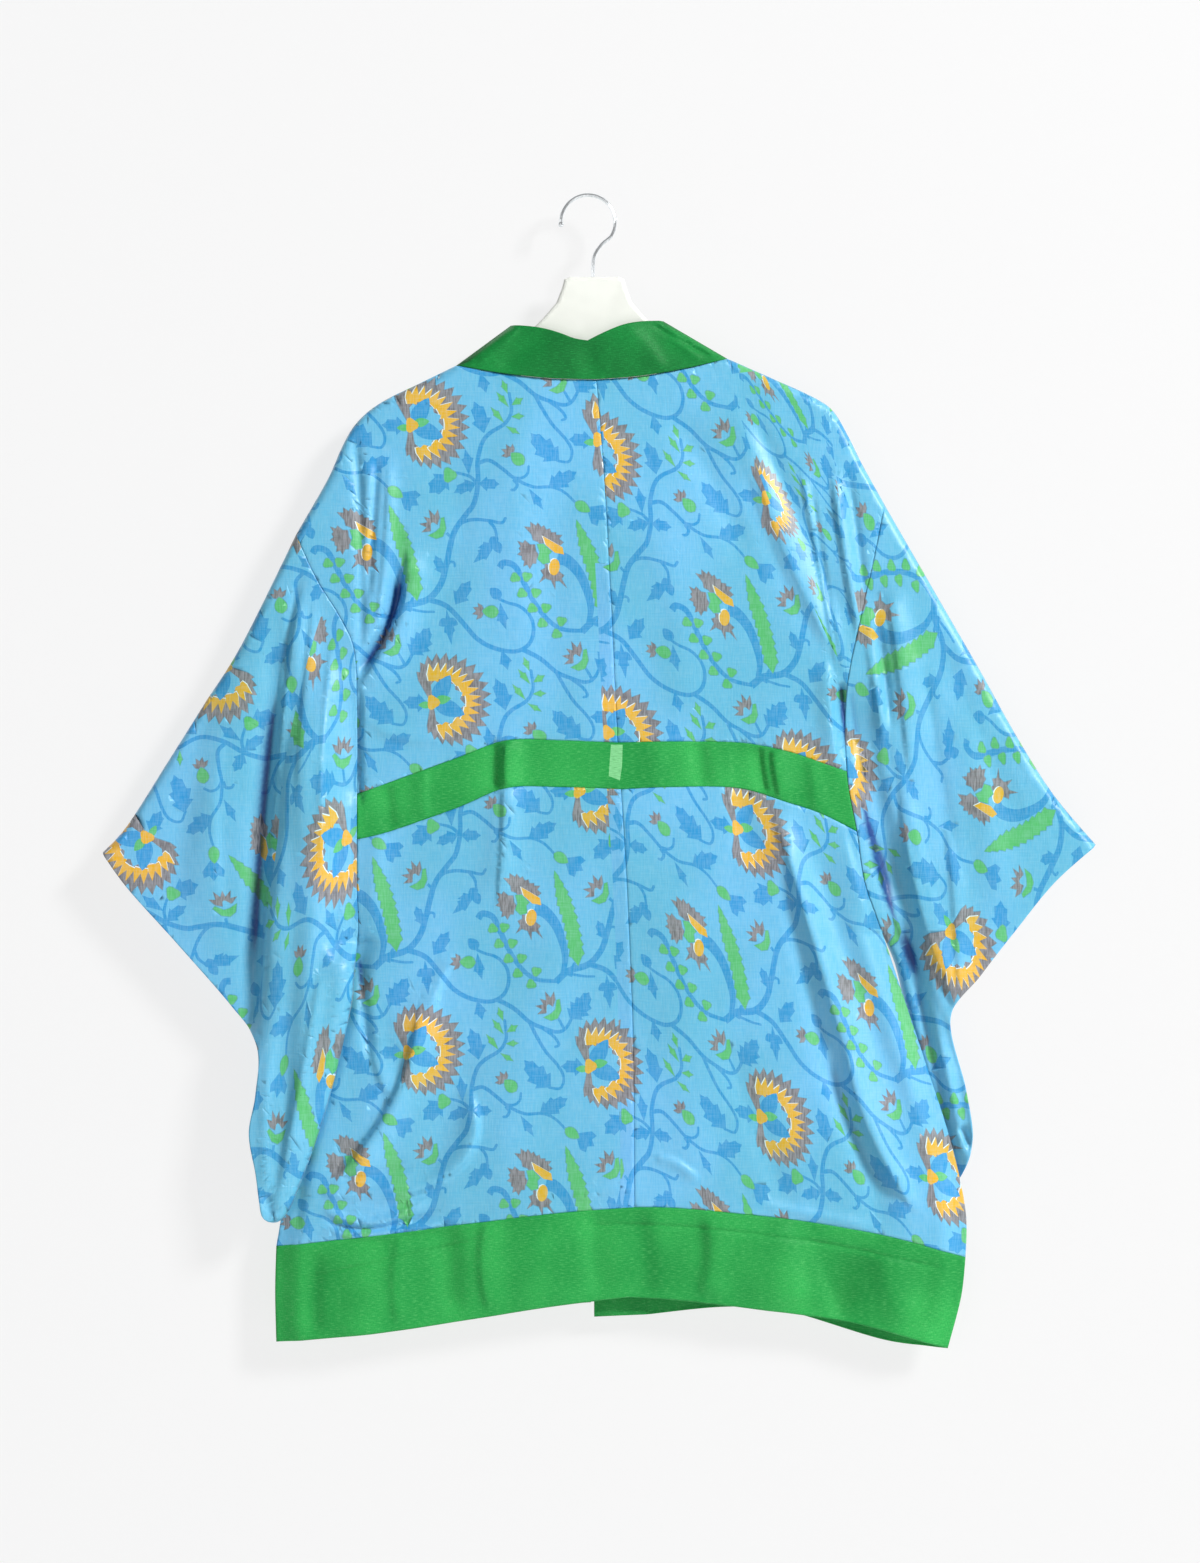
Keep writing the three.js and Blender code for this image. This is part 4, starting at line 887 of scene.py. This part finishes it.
def cut_panel(outline, *prints, creases=None):
    """Places, faces and inks of one flat panel, in millimetres across and up.

    A print is a placing, the region it covers, or None for all of the panel, and its ground.
    """
    low, high = outline.min(0), outline.max(0)
    ring = np.vstack([outline, outline[:1]])
    inward = normals_of(ring)[:-1]
    rows = [outline]
    for reach in EDGE_ROWS:
        row = outline + inward * reach
        rows.append(row[inside_of(row, outline) & (distance_to(row, ring) > EDGE_KEEP * reach)])
    motifs = []
    for placing, _, _ in prints:
        if placing:
            motifs.extend(points for _, points in printed_shapes(placing, low, high))
    taken = list(motifs)
    if creases is not None:
        creases = creases[inside_of(creases, outline)]
        creases = creases[distance_to(creases, ring) > CREASE_CLEAR]
        rows.append(clear_of(creases, motifs))
        taken.append(rows[-1])
    across, up = np.meshgrid(np.arange(low[0], high[0], GRID_STEP), np.arange(low[1], high[1], ROW_STEP))
    across[1::2] += GRID_STEP / 2
    grid = np.stack([across.ravel(), up.ravel()], -1)
    grid = grid[inside_of(grid, outline)]
    grid = grid[distance_to(grid, ring) > GRID_CLEAR]
    rows.append(clear_of(grid, taken))
    places = [Vector(p) for row in rows for p in row]
    loops, marks, regions = [list(range(len(outline)))], [(0, GROUND)], [0]
    for layer, (placing, region, ground) in enumerate(prints):
        shapes = list(printed_shapes(placing, low, high)) if placing else []
        if region is not None:
            regions.append(len(loops))
            shapes.insert(0, (ground, region))
        for ink, points in shapes:
            points = anticlockwise(points)
            loops.append(list(range(len(places), len(places) + len(points))))
            places.extend(Vector(p) for p in points)
            marks.append((layer, ink))
    places, _, faces, _, _, origins = delaunay_2d_cdt(places, [], loops, 0, CDT_EPSILON, True)
    kept, inks = [], []
    for face, origin in zip(faces, origins):
        if 0 not in origin:
            continue
        layer = max(marks[i][0] for i in origin if i in regions)
        kept.append(face)
        inks.append(marks[max((i for i in origin if marks[i][0] == layer), default=0)][1])
    return np.array([tuple(p) for p in places]), kept, inks


print("a panel is cut on a grid of", GRID_STEP, "mm")

# %% [markdown]
# A finish is built as a small graph of shader nodes. One little class wraps a socket, so that the
# sums behind a weave are written as sums, and one method makes any other node. Only colour,
# roughness and bump change over a surface here. Sheen and the like are plain numbers.

# %% A small language for finishes


class Value:
    """A socket that can be added to and multiplied."""

    def __init__(self, finish, socket):
        self.finish, self.socket = finish, socket

    def _maths(self, operation, a, b):
        node = self.finish.node("ShaderNodeMath", {"operation": operation}, {0: a, 1: b})
        return Value(self.finish, node.outputs[0])

    def __add__(self, other):
        return self._maths("ADD", self, other)

    def __mul__(self, other):
        return self._maths("MULTIPLY", self, other)

    __radd__, __rmul__ = __add__, __mul__


class Finish:
    """A material under construction."""

    def __init__(self, name):
        self.material = bpy.data.materials.new(name)
        self.material.use_nodes = True
        self.tree = self.material.node_tree
        self.shader = self.tree.nodes["Principled BSDF"]

    def node(self, kind, settings=None, inputs=None):
        """A new node with its settings, and values or links at its inputs."""
        made = self.tree.nodes.new(kind)
        for name, value in (settings or {}).items():
            if name == "stops":
                ramp = made.color_ramp
                while len(ramp.elements) < len(value):
                    ramp.elements.new(0.5)
                for element, (place, colour) in zip(ramp.elements, value):
                    element.position, element.color = place, colour
            else:
                setattr(made, name, value)
        for name, value in (inputs or {}).items():
            self.feed(made.inputs[name], value)
        return made

    def feed(self, socket, value):
        if isinstance(value, Value):
            value = value.socket
        if isinstance(value, bpy.types.NodeSocket):
            self.tree.links.new(value, socket)
        else:
            socket.default_value = value

    def value(self, kind, output, settings=None, inputs=None):
        return Value(self, self.node(kind, settings, inputs).outputs[output])

    def noise(self, place, stretch, scale, detail):
        """Noise from 0 to 1, stretched along an axis."""
        mapped = self.node("ShaderNodeMapping", None, {"Vector": place, "Scale": stretch}).outputs[0]
        return self.value("ShaderNodeTexNoise", "Fac", None,
                          {"Vector": mapped, "Scale": scale, "Detail": detail})

    def span(self, value, low, high, to_low=0.0, to_high=1.0):
        """A soft step between two numbers, while a value goes from low to high."""
        return self.value("ShaderNodeMapRange", 0, {"interpolation_type": "SMOOTHSTEP"},
                          {"Value": value, 1: low, 2: high, 3: to_low, 4: to_high})

    def blend(self, share, a, b, kind="MIX"):
        """A mix of two colours."""
        node = self.node("ShaderNodeMix", {"data_type": "RGBA", "blend_type": kind})
        for socket, value in ((0, share), (6, a), (7, b)):
            self.feed(node.inputs[socket], value)
        return node.outputs[2]

    def bump(self, height, distance, strength):
        inputs = {"Height": height, "Distance": distance, "Strength": strength}
        return self.node("ShaderNodeBump", None, inputs).outputs[0]

    def surface(self, **sockets):
        for name, value in sockets.items():
            self.feed(self.shader.inputs[name.replace("_", " ").title()], value)
        return self.material


def linear(red, green, blue):
    """A colour given as a printer mixes it, 0 to 255, in light."""
    parts = [c / 255 for c in (red, green, blue)]
    return (*[c / 12.92 if c <= 0.04045 else ((c + 0.055) / 1.055) ** 2.4 for c in parts], 1.0)


print("a middle blue is", [round(part, 3) for part in linear(102, 186, 230)], "in light")

# %% [markdown]
# Printed silk is thin and smooth, with a soft broad shine along its folds and a thin coat. Its dye
# is an attribute on the mesh, one colour for each printed shape, and the material adds what a loom
# and a printer add: a faint weave both ways, pale streaks that are partly a painted sheen, and a
# heathered grey where threads mix. It also darkens the dye deep in folds as painted shade, by an
# attribute that grows with how deep in a fold a place lies. Heather marks the grey shapes.

# %% Printed silk
INK_COLOURS = {
    GROUND: linear(102, 186, 230),
    SEAM_GROUND: linear(104, 180, 232),
    VINE: linear(36, 150, 214),
    YELLOW: linear(234, 176, 0),
    GREY: linear(112, 109, 114),
    GREEN: linear(84, 188, 108),
    PALE: linear(226, 240, 248),
    LINE_INK: linear(82, 150, 190),
}
WEAVE = 0.00045  # metres of cloth to one radian of the weave's wave
WAVE_FACTOR = 20  # the wave texture turns its place by this
WEAVE_HEIGHT = 0.05


def silk_finish():
    finish = Finish("printed_silk")
    place = finish.node("ShaderNodeUVMap", {"uv_map": "cloth"}).outputs[0]
    dye = finish.node("ShaderNodeAttribute", {"attribute_name": "dye"}).outputs["Color"]
    heather = finish.value("ShaderNodeAttribute", "Fac", {"attribute_name": "heather"})
    hollow = finish.value("ShaderNodeAttribute", "Fac", {"attribute_name": "hollow"})
    down = finish.noise(place, (800, 90, 1), 1.0, 3)
    across = finish.noise(place, (70, 760, 1), 1.0, 3)
    wide = finish.noise(place, (9, 6, 1), 1.0, 2)
    streaks = down * 0.6 + across * 0.4
    # Pale streaks of thread, partly a painted sheen.
    streaked = finish.blend(finish.span(streaks, 0.34, 0.7, 0.0, 0.18), dye, linear(190, 226, 244))
    aged = finish.blend(finish.span(wide, 0.3, 0.65), streaked, (0.77, 0.91, 0.83, 1), "MULTIPLY")
    # Painted shade: the dye is darkened towards deep blue where a place lies deep in a fold.
    fold_shaded = finish.blend(hollow, aged, (0.07, 0.15, 0.36, 1), "MULTIPLY")
    mixed = finish.blend(heather * finish.span(down, 0.35, 0.62, 0.0, 0.42), fold_shaded, linear(168, 164, 168))
    warp, weft = (finish.value("ShaderNodeTexWave", "Fac", {"bands_direction": way},
                               {"Vector": place, "Scale": 1 / WEAVE / WAVE_FACTOR}) for way in "XY")
    rumple = finish.noise(place, (34, 20, 1), 1.0, 3)
    height = warp * WEAVE_HEIGHT + weft * WEAVE_HEIGHT + streaks + rumple * 6
    return finish.surface(base_color=mixed, roughness=finish.span(streaks, 0.3, 0.7, 0.38, 0.52),
                          normal=finish.bump(height, 0.0003, 0.7), sheen_weight=0.06, sheen_roughness=0.4,
                          coat_weight=0.1, coat_roughness=0.3)


silk = silk_finish()
print("printed silk has", len(silk.node_tree.nodes), "nodes")

# %% [markdown]
# Raw silk is stiffer and grainy: its weft is uneven thread, so lighter slubs run across it. The
# same plan makes it, with longer and stronger streaks, a deeper bump and a drier surface. Here
# heather marks a small rubbed patch on the waist band.

# %% Green raw silk


def raw_silk_finish(name, colour, shade, slub_colour):
    finish = Finish(name)
    place = finish.node("ShaderNodeUVMap", {"uv_map": "cloth"}).outputs[0]
    hollow = finish.value("ShaderNodeAttribute", "Fac", {"attribute_name": "hollow"})
    slub = finish.noise(place, (190, 1300, 1), 1.0, 4)
    grain = finish.noise(place, (1000, 500, 1), 1.0, 3)
    wide = finish.noise(place, (14, 10, 1), 1.0, 2)
    base = finish.blend(finish.span(wide, 0.3, 0.7), shade, colour)
    lit = finish.blend(finish.span(slub, 0.45, 0.75, 0.0, 0.42), base, slub_colour)
    streaked = finish.blend(finish.span(grain, 0.35, 0.7, 0.0, 0.5), lit, shade)
    rubbed = finish.value("ShaderNodeAttribute", "Fac", {"attribute_name": "heather"})
    pale = finish.blend(rubbed * finish.span(slub, 0.25, 0.6, 0.4, 0.75), streaked, linear(150, 226, 160))
    # Painted shade: the green is darkened deep in folds.
    dark = finish.blend(hollow, pale, (0.12, 0.3, 0.15, 1), "MULTIPLY")
    height = slub * 0.8 + grain * 0.6
    finish.feed(finish.shader.inputs["Specular IOR Level"], 0.25)
    return finish.surface(base_color=dark, roughness=finish.span(grain, 0.3, 0.7, 0.5, 0.68),
                          normal=finish.bump(height, 0.0004, 0.6), sheen_weight=0.05, sheen_roughness=0.5)


green_silk = raw_silk_finish("green_raw_silk", linear(46, 173, 80), linear(20, 144, 62),
                             linear(108, 208, 122))
collar_silk = raw_silk_finish("green_collar_silk", linear(8, 142, 60), linear(0, 108, 44),
                              linear(40, 178, 84))
print("raw silk has", len(green_silk.node_tree.nodes), "nodes")

# %% [markdown]
# Every panel is now a shell: its flat places are lifted to the body's or the sleeve's depth, it
# turns in a little at its sewn edges as a pressed seam does, and a Solidify modifier gives the
# cloth its thickness. Back panels face the viewer and front panels are turned the other way.

# %% Making a cloth shell
CLOTH = 0.6  # millimetres
SEAM_SINK = 0.7
SEAM_ROLL = 1.6
SLIVER = 0.06  # millimetres, for edges and faces too thin to shade
# Painted shade in folds: it begins this far below the cloth's own level and grows over this much, and gaps
# that go right in behind get the darkest.
FOLD_SHADE_FROM, FOLD_SHADE_OVER = 2.4, 5  # millimetres below the cloth's own level
FOLD_SHADE_SHARE = 0.33  # how dark a fold is beside a gap that goes right in behind
GAP_FROM, GAP_OVER = 6.2, 2
WELD = 0.05  # millimetres between places of a sleeve's two walls that become one


def painted_fold_shade_at(folds, places):
    """Painted shade for each place, from 0 to 1, by how deep in a fold it lies."""
    x, z = places.T
    depth = -folds_at(folds, x, z)
    shaded = FOLD_SHADE_SHARE * smooth((depth - FOLD_SHADE_FROM) / FOLD_SHADE_OVER)
    return shaded + (1 - FOLD_SHADE_SHARE) * smooth((depth - GAP_FROM) / GAP_OVER)


def cloth_mesh(name, walls):
    """One mesh from walls of (places, depths, faces, inks, facing, folds)."""
    bm = bmesh.new()
    dye = bm.loops.layers.float_color.new("dye")
    cloth = bm.loops.layers.uv.new("cloth")
    heather = bm.faces.layers.float.new("heather")
    hollow = bm.verts.layers.float.new("hollow")
    for places, depths, faces, inks, facing, folds in walls:
        verts = [bm.verts.new(((x + STEM_X) * MM, y * MM, z * MM)) for (x, z), y in zip(places, depths)]
        # Each place gets its painted shade, by how deep in a fold it lies.
        for vert, share in zip(verts, painted_fold_shade_at(folds, places)):
            vert[hollow] = share
        for corners, ink in zip(faces, inks):
            if facing < 0:
                corners = corners[::-1]
            face = bm.faces.new([verts[i] for i in corners])
            face.smooth = True
            face[heather] = 1.0 if ink == GREY else 0.0
            for loop in face.loops:
                loop[dye] = INK_COLOURS[ink]
                loop[cloth].uv = loop.vert.co.xz
    bmesh.ops.delete(bm, geom=[v for v in bm.verts if not v.link_faces], context="VERTS")
    bmesh.ops.dissolve_degenerate(bm, dist=SLIVER * MM, edges=bm.edges)
    if len(walls) > 1:
        bmesh.ops.remove_doubles(bm, verts=bm.verts, dist=WELD * MM)
    mesh = bpy.data.meshes.new(name)
    bm.to_mesh(mesh)
    bm.free()
    return mesh


def finish_shell(name, mesh, material, slot, *nodes):
    """The piece of cloth that stands for one or two solids."""
    piece = bpy.data.objects.new(name, mesh)
    bpy.context.scene.collection.objects.link(piece)
    mesh.materials.append(material)
    thick = piece.modifiers.new("thickness", "SOLIDIFY")
    thick.thickness, thick.offset = CLOTH * MM, 0
    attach(piece, "root")
    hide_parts(*nodes)
    area = sum(polygon.area for polygon in mesh.polygons)
    print(name, len(mesh.polygons), "faces,", round(area, 4), "square metres")
    return piece


def pressed(places, outline):
    """How far a sewn edge turns in, at each place."""
    return SEAM_SINK * (1 - quarter(distance_to(places, np.vstack([outline, outline[:1]])) / SEAM_ROLL))


def body_wall(half, facing, outline, *prints):
    """One wall of the body, cut flat and then lifted to its depth."""
    places, faces, inks = cut_panel(outline, *prints, creases=CREASES[facing])
    depths = body_depth(half, facing, places) + facing * pressed(places, outline)
    return places, depths, faces, inks, facing, BACK_FOLDS if facing > 0 else FRONT_FOLDS


CREASES = {1: fold_rows(BACK_FOLDS), -1: fold_rows(FRONT_FOLDS)}  # by the way that a wall faces
SLEEVE_CREASES = fold_rows(SLEEVE_FOLDS)
print("rows beside the sharp folds have", len(CREASES[1]), len(CREASES[-1]), len(SLEEVE_CREASES), "places")

# %% [markdown]
# Each panel was cut from the printed cloth at its own place and slant. Beside the centre seam and
# under the right armhole another part of the print shows, where the cloth is pressed or tucked.

# %% Where the print lies
SEAM_STRIP = 12.5  # millimetres across
STRIP_FROM = -330  # height where it begins on the upper back
TUCK_PARTS = 12
HANG_REGION = 140  # millimetres that the hanging part's print reaches over from its fold
PRINTS = dict(
    # a fan flower's heart, the repeat across and the repeat down
    upper_left=((-162.1, -206.0), (168, -13), (19.5, -249)),
    upper_right=((156.9, -272.1), (162, -39), (19.5, -249)),
    lower_left=((-1.7, -781.5), (163, -12.6), (10, -247)),
    lower_right=((130.2, -568.0), (153, -54), (21.8, -259)),
    front_left=((-130, -330), (166, -9), (19, -249)),
    front_right=((110, -300), (166, -9), (19, -249)),
    sleeve_left=((-399.6, -576.0), (-69.8, -152.7), (211.5, -133.1)),
    sleeve_right=((322, -661), (106, -159), (155, 161)),
    hanging_left=((-220, -577), (-93.9, -171.7), (113.9, -201.8)),
    tucked_right=((155, -271), (82, -22), (108, -226)),
)


def seam_strip(top, bottom):
    """The pressed strip of cloth beside the centre seam."""
    seam = CENTRE.part(CENTRE.share_at(top), CENTRE.share_at(bottom))
    return np.vstack([seam + (1, 0), seam[::-1] - (SEAM_STRIP, 0)])


tuck_edge = fold_curve(124, -160, 158, -272, 224, -424, TUCK_PARTS)
tuck_end = fold_curve(211, -150, 224, -290, 250, -424, TUCK_PARTS)
UPPER_PRINTS = dict(
    left=[(PRINTS["upper_left"], None, GROUND),
          (PRINTS["upper_right"], seam_strip(STRIP_FROM, WAIST_TOP), SEAM_GROUND)],
    right=[(PRINTS["upper_right"], None, GROUND),
           (PRINTS["tucked_right"], np.vstack([tuck_edge, tuck_end[::-1]]), GROUND),
           (PRINTS["sleeve_right"], np.vstack([tuck_end, [(300, -424), (300, -150)]]), GROUND)],
)
LOWER_PRINTS = dict(
    left=[(PRINTS["lower_left"], None, GROUND),
          (PRINTS["lower_right"], seam_strip(WAIST_BOTTOM, HEM_TOP), SEAM_GROUND)],
    right=[(PRINTS["lower_right"], None, GROUND)],
)
print("print placed in", len(PRINTS), "ways")

# %% [markdown]
# The panels of both halves follow: upper and lower back, front, front hem, front band and sleeve.
# Each is closed from the pattern lines round it, so neighbours share the line of their seam.

# %% Panels and sleeves
for name, half in HALVES.items():
    side = half["side"]
    half["waist_from"] = side.share_at(half["waist_top"].samples[0, 1])
    half["waist_to"] = side.share_at(half["waist_bottom"].samples[0, 1])
    half["underarm_at"] = side.share_at(half["underarm"])
    half["seam_to"] = half["front_seam"].share_at(half["front_hem_top"].samples[-1, 1])
CENTRE_FROM = CENTRE.share_at(WAIST_TOP)
CENTRE_TO = CENTRE.share_at(WAIST_BOTTOM)


def sew(part, name, material, slot, *walls):
    """A piece of one half of the jacket. A sleeve's two walls stand for two solids."""
    whole = f"{part}_{name}"
    nodes = [whole] if len(walls) == 1 else [whole + "_back", whole + "_front"]
    mesh = cloth_mesh(whole, walls)
    finish_shell(f"{part}_shell_{name}", mesh, material, slot, *nodes)


for name, half in HALVES.items():
    upper = closed(half["shoulder"].part(0, 1), half["neckline"].part(0, 1), CENTRE.part(0, CENTRE_FROM),
                   half["waist_top"].part(1, 0), half["side"].part(half["waist_from"], 0))
    sew("back_upper", name, silk, "silk", body_wall(half, 1, upper, *UPPER_PRINTS[name]))
    lower = closed(half["waist_bottom"].part(0, 1), CENTRE.part(CENTRE_TO, 1), half["hem_top"].part(1, 0),
                   half["side"].part(1, half["waist_to"]))
    sew("back_lower", name, silk, "silk", body_wall(half, 1, lower, *LOWER_PRINTS[name]))
    front = closed(half["shoulder"].part(0, 1), half["front_seam"].part(0, half["seam_to"]),
                   half["front_hem_top"].part(1, 0), half["side"].part(1, 0))
    sew("front", name, silk, "silk", body_wall(half, -1, front, (PRINTS["front_" + name], None, GROUND)))
    hem = closed(half["front_hem_top"].part(0, 1), half["front_seam"].part(half["seam_to"], 1),
                 half["front_hem_bottom"].part(1, 0), half["hem_side"].part(1, 0))
    sew("front_hem", name, green_silk, "raw_silk", body_wall(half, -1, hem))
    band = closed(half["front_seam"].part(0, 1), half["front_edge"].part(1, 0))
    sew("front_band", name, green_silk, "raw_silk", body_wall(half, -1, band))
    sleeve = closed(half["sleeve_top"].part(0, 1), half["cuff"].part(0, 1),
                    half["sleeve_bottom"].part(1, 0), half["side"].part(half["underarm_at"], 0))
    walls = []
    for facing in (1, -1):
        prints = [(PRINTS["sleeve_" + name], None, GROUND)]
        if facing > 0 and "hanging_" + name in PRINTS:
            fold = half["hang_fold"].part(0, 1)
            corners = np.array([(0, -HANG_REGION), (HANG_REGION, -HANG_REGION), (HANG_REGION, 0)])
            hanging = np.vstack([fold, fold[[-1, -1, 0]] + corners])
            prints.append((PRINTS["hanging_" + name], hanging, GROUND))
        places, faces, inks = cut_panel(sleeve, *prints, creases=SLEEVE_CREASES)
        walls.append((places, sleeve_depth(half, facing, places), faces, inks, facing, SLEEVE_FOLDS))
    sew("sleeve", name, silk, "silk", *walls)

# %% [markdown]
# The waist band and the back hem band are plain green raw silk, sewn right across the back. The
# waist band is rubbed pale in a small patch beside the centre seam.

# %% Bands across the back
BAND_MIDDLE = 26  # a band takes the left half's depth up to here
WORN_PATCH = ((17, -493), (27.5, -493), (27, -512), (25, -525), (15, -521), (16, -508))


def back_band(name, top, bottom, left_end, right_end, *patches):
    """A band sewn right across the back, between its ends."""
    outline = closed(LEFT[top].part(0, 1), RIGHT[top].part(1, 0), right_end, RIGHT[bottom].part(0, 1),
                     LEFT[bottom].part(1, 0), left_end)
    places, faces, inks = cut_panel(outline, *patches, creases=CREASES[1])
    on_right = places[:, 0] > BAND_MIDDLE
    depths = np.where(on_right, body_depth(RIGHT, 1, places), body_depth(LEFT, 1, places))
    wall = (places, depths + pressed(places, outline), faces, inks, 1, BACK_FOLDS)
    return finish_shell(name + "_shell", cloth_mesh(name, [wall]), green_silk, "raw_silk", name)


back_band("waist_band", "waist_top", "waist_bottom",
                                 LEFT["side"].part(LEFT["waist_to"], LEFT["waist_from"]),
                                 RIGHT["side"].part(RIGHT["waist_from"], RIGHT["waist_to"]),
                                 (None, np.array(WORN_PATCH, float), GREY))
back_band("back_hem", "hem_top", "hem_bottom", LEFT["hem_side"].part(1, 0),
                               RIGHT["hem_side"].part(0, 1))

# %% [markdown]
# The collar stands up behind the neck, and leans back a little at its middle. It goes on down
# both front edges as a band.

# %% Collar
COLLAR_MIDDLE = 4
COLLAR_FROM, COLLAR_OVER = -73, 137  # where its top edge begins, and how far it goes across
COLLAR_FOOT, COLLAR_TALL = -165, 40
COLLAR_EDGE = 8  # its folds die away over this much beside its edges
collar_outline = closed(COLLAR_TOP_LEFT.part(0, 1), COLLAR_TOP_RIGHT.part(0, 1),
                        RIGHT["neckline"].part(0, 1), LEFT["neckline"].part(1, 0))
places, faces, inks = cut_panel(collar_outline, creases=fold_rows(COLLAR_FOLDS))
across, up = places.T
depths = np.where(across > COLLAR_MIDDLE, -neck_half_depth(RIGHT, across, up),
                  -neck_half_depth(LEFT, across, up))
along = np.clip((across - COLLAR_FROM) / COLLAR_OVER, 0, 1)
rise = np.clip((up - COLLAR_FOOT) / COLLAR_TALL, 0, 1)
from_edge = np.clip(distance_to(places, collar_outline) / COLLAR_EDGE, 0, 1)
depths = depths - folds_at(COLLAR_FOLDS, across, up) * from_edge
depths = depths - COLLAR_LEAN * smooth(np.minimum(along, 1 - along) / COLLAR_LEAN_SHARE) * rise
wall = (places, depths, faces, inks, 1, COLLAR_FOLDS)
finish_shell("collar_shell", cloth_mesh("collar", [wall]), collar_silk, "raw_silk",
                                "collar")

# %% [markdown]
# The hanger is one moulding of white plastic, with a faint orange-peel skin and softly worn
# edges. The hook is bright chromed wire, made a little brighter by a painted glow. Both keep the
# shape of their solids here.

# %% Hanger
plastic = Finish("white_plastic")
here = plastic.node("ShaderNodeTexCoord").outputs["Object"]
skin = plastic.noise(here, (1, 1, 1), 900, 2)
cloud = plastic.noise(here, (1, 1, 1), 30, 2)
moulded = plastic.blend(plastic.span(cloud, 0.3, 0.7), linear(238, 240, 232), linear(231, 233, 225))
plastic.surface(base_color=moulded, roughness=plastic.span(skin, 0.3, 0.7, 0.28, 0.4),
                normal=plastic.bump(skin, 0.0001, 0.3))
chrome = Finish("chrome_wire")
here = chrome.node("ShaderNodeTexCoord").outputs["Object"]
rub = chrome.noise(here, (1, 1, 1), 400, 3)
plated = chrome.blend(chrome.span(rub, 0.4, 0.75), linear(226, 230, 232), linear(200, 205, 208))
# The faint white emission is a painted glow that makes the wire look brighter.
chrome.surface(base_color=plated, roughness=chrome.span(rub, 0.3, 0.75, 0.12, 0.28), metallic=1.0,
               emission_color=(1, 1, 1, 1), emission_strength=0.16)
for node_name, finish in (("hanger_body", plastic), ("hanger_hook", chrome)):
    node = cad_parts[node_name]
    for slot in node.material_slots:
        slot.material = finish.material
    if not node.material_slots:
        node.data.materials.append(finish.material)
print("hanger and hook dressed")

# %% [markdown]
# The jacket hangs in front of a pale wall, in soft light from the upper right, so that a faint
# shadow falls to its left. The wall is one-sided, for views from behind.

# %% Wall and light
WALL_AT = 0.031  # metres behind the hanger's middle
FLOOR_AT = -1.9


def stage_plane(name, size, place, turn):
    """A flat square that is turned about X and only stands in the scene."""
    bm = bmesh.new()
    bmesh.ops.create_grid(bm, x_segments=1, y_segments=1, size=size,
                          matrix=Matrix.Translation(place) @ Matrix.Rotation(math.radians(turn), 4, "X"))
    mesh = bpy.data.meshes.new(name)
    bm.to_mesh(mesh)
    bm.free()
    made = bpy.data.objects.new(name, mesh)
    bpy.context.scene.collection.objects.link(made)
    return made


wall_paint = Finish("pale_wall")
wall_paint.surface(base_color=(0.13, 0.13, 0.13, 1), roughness=0.9, emission_color=(1, 1, 1, 1),
                   emission_strength=0.775)
back = wall_paint.value("ShaderNodeNewGeometry", "Backfacing")
clear = wall_paint.node("ShaderNodeBsdfTransparent").outputs[0]
sided = wall_paint.node("ShaderNodeMixShader", None,
                        {0: back, 1: wall_paint.shader.outputs[0], 2: clear})
wall_paint.tree.links.new(sided.outputs[0], wall_paint.tree.nodes["Material Output"].inputs["Surface"])
pale_wall = stage_plane("pale_wall", 4, (0, WALL_AT, -0.5), 90)
pale_wall.data.materials.append(wall_paint.material)

floor_paint = Finish("pale_floor")
floor_paint.surface(base_color=(0.85, 0.85, 0.85, 1), roughness=0.8)
pale_floor = stage_plane("pale_floor", 6, (0, 0, FLOOR_AT), 0)
pale_floor.data.materials.append(floor_paint.material)


def soft_light(name, place, target, size, watts):
    light = bpy.data.objects.new(name, bpy.data.lights.new(name, "AREA"))
    light.data.size, light.data.energy = size, watts
    light.location = place
    light.rotation_euler = (Vector(target) - Vector(place)).to_track_quat("-Z", "Y").to_euler()
    bpy.context.scene.collection.objects.link(light)


soft_light("key", (3.9, -3.5, 2.4), (0, 0, -0.5), 1.2, 392)
soft_light("fill", (-2.4, -4.5, -0.2), (0, 0, -0.6), 2.4, 24)
soft_light("back_light", (0.6, 2.6, 1.0), (0, 0, -0.5), 2.0, 30)
world = bpy.data.worlds.new("studio")
bpy.context.scene.world = world
world.use_nodes = True
sky = world.node_tree.nodes["Background"]
sky.inputs["Color"].default_value = (0.96, 0.97, 1.0, 1)
sky.inputs["Strength"].default_value = 0.17
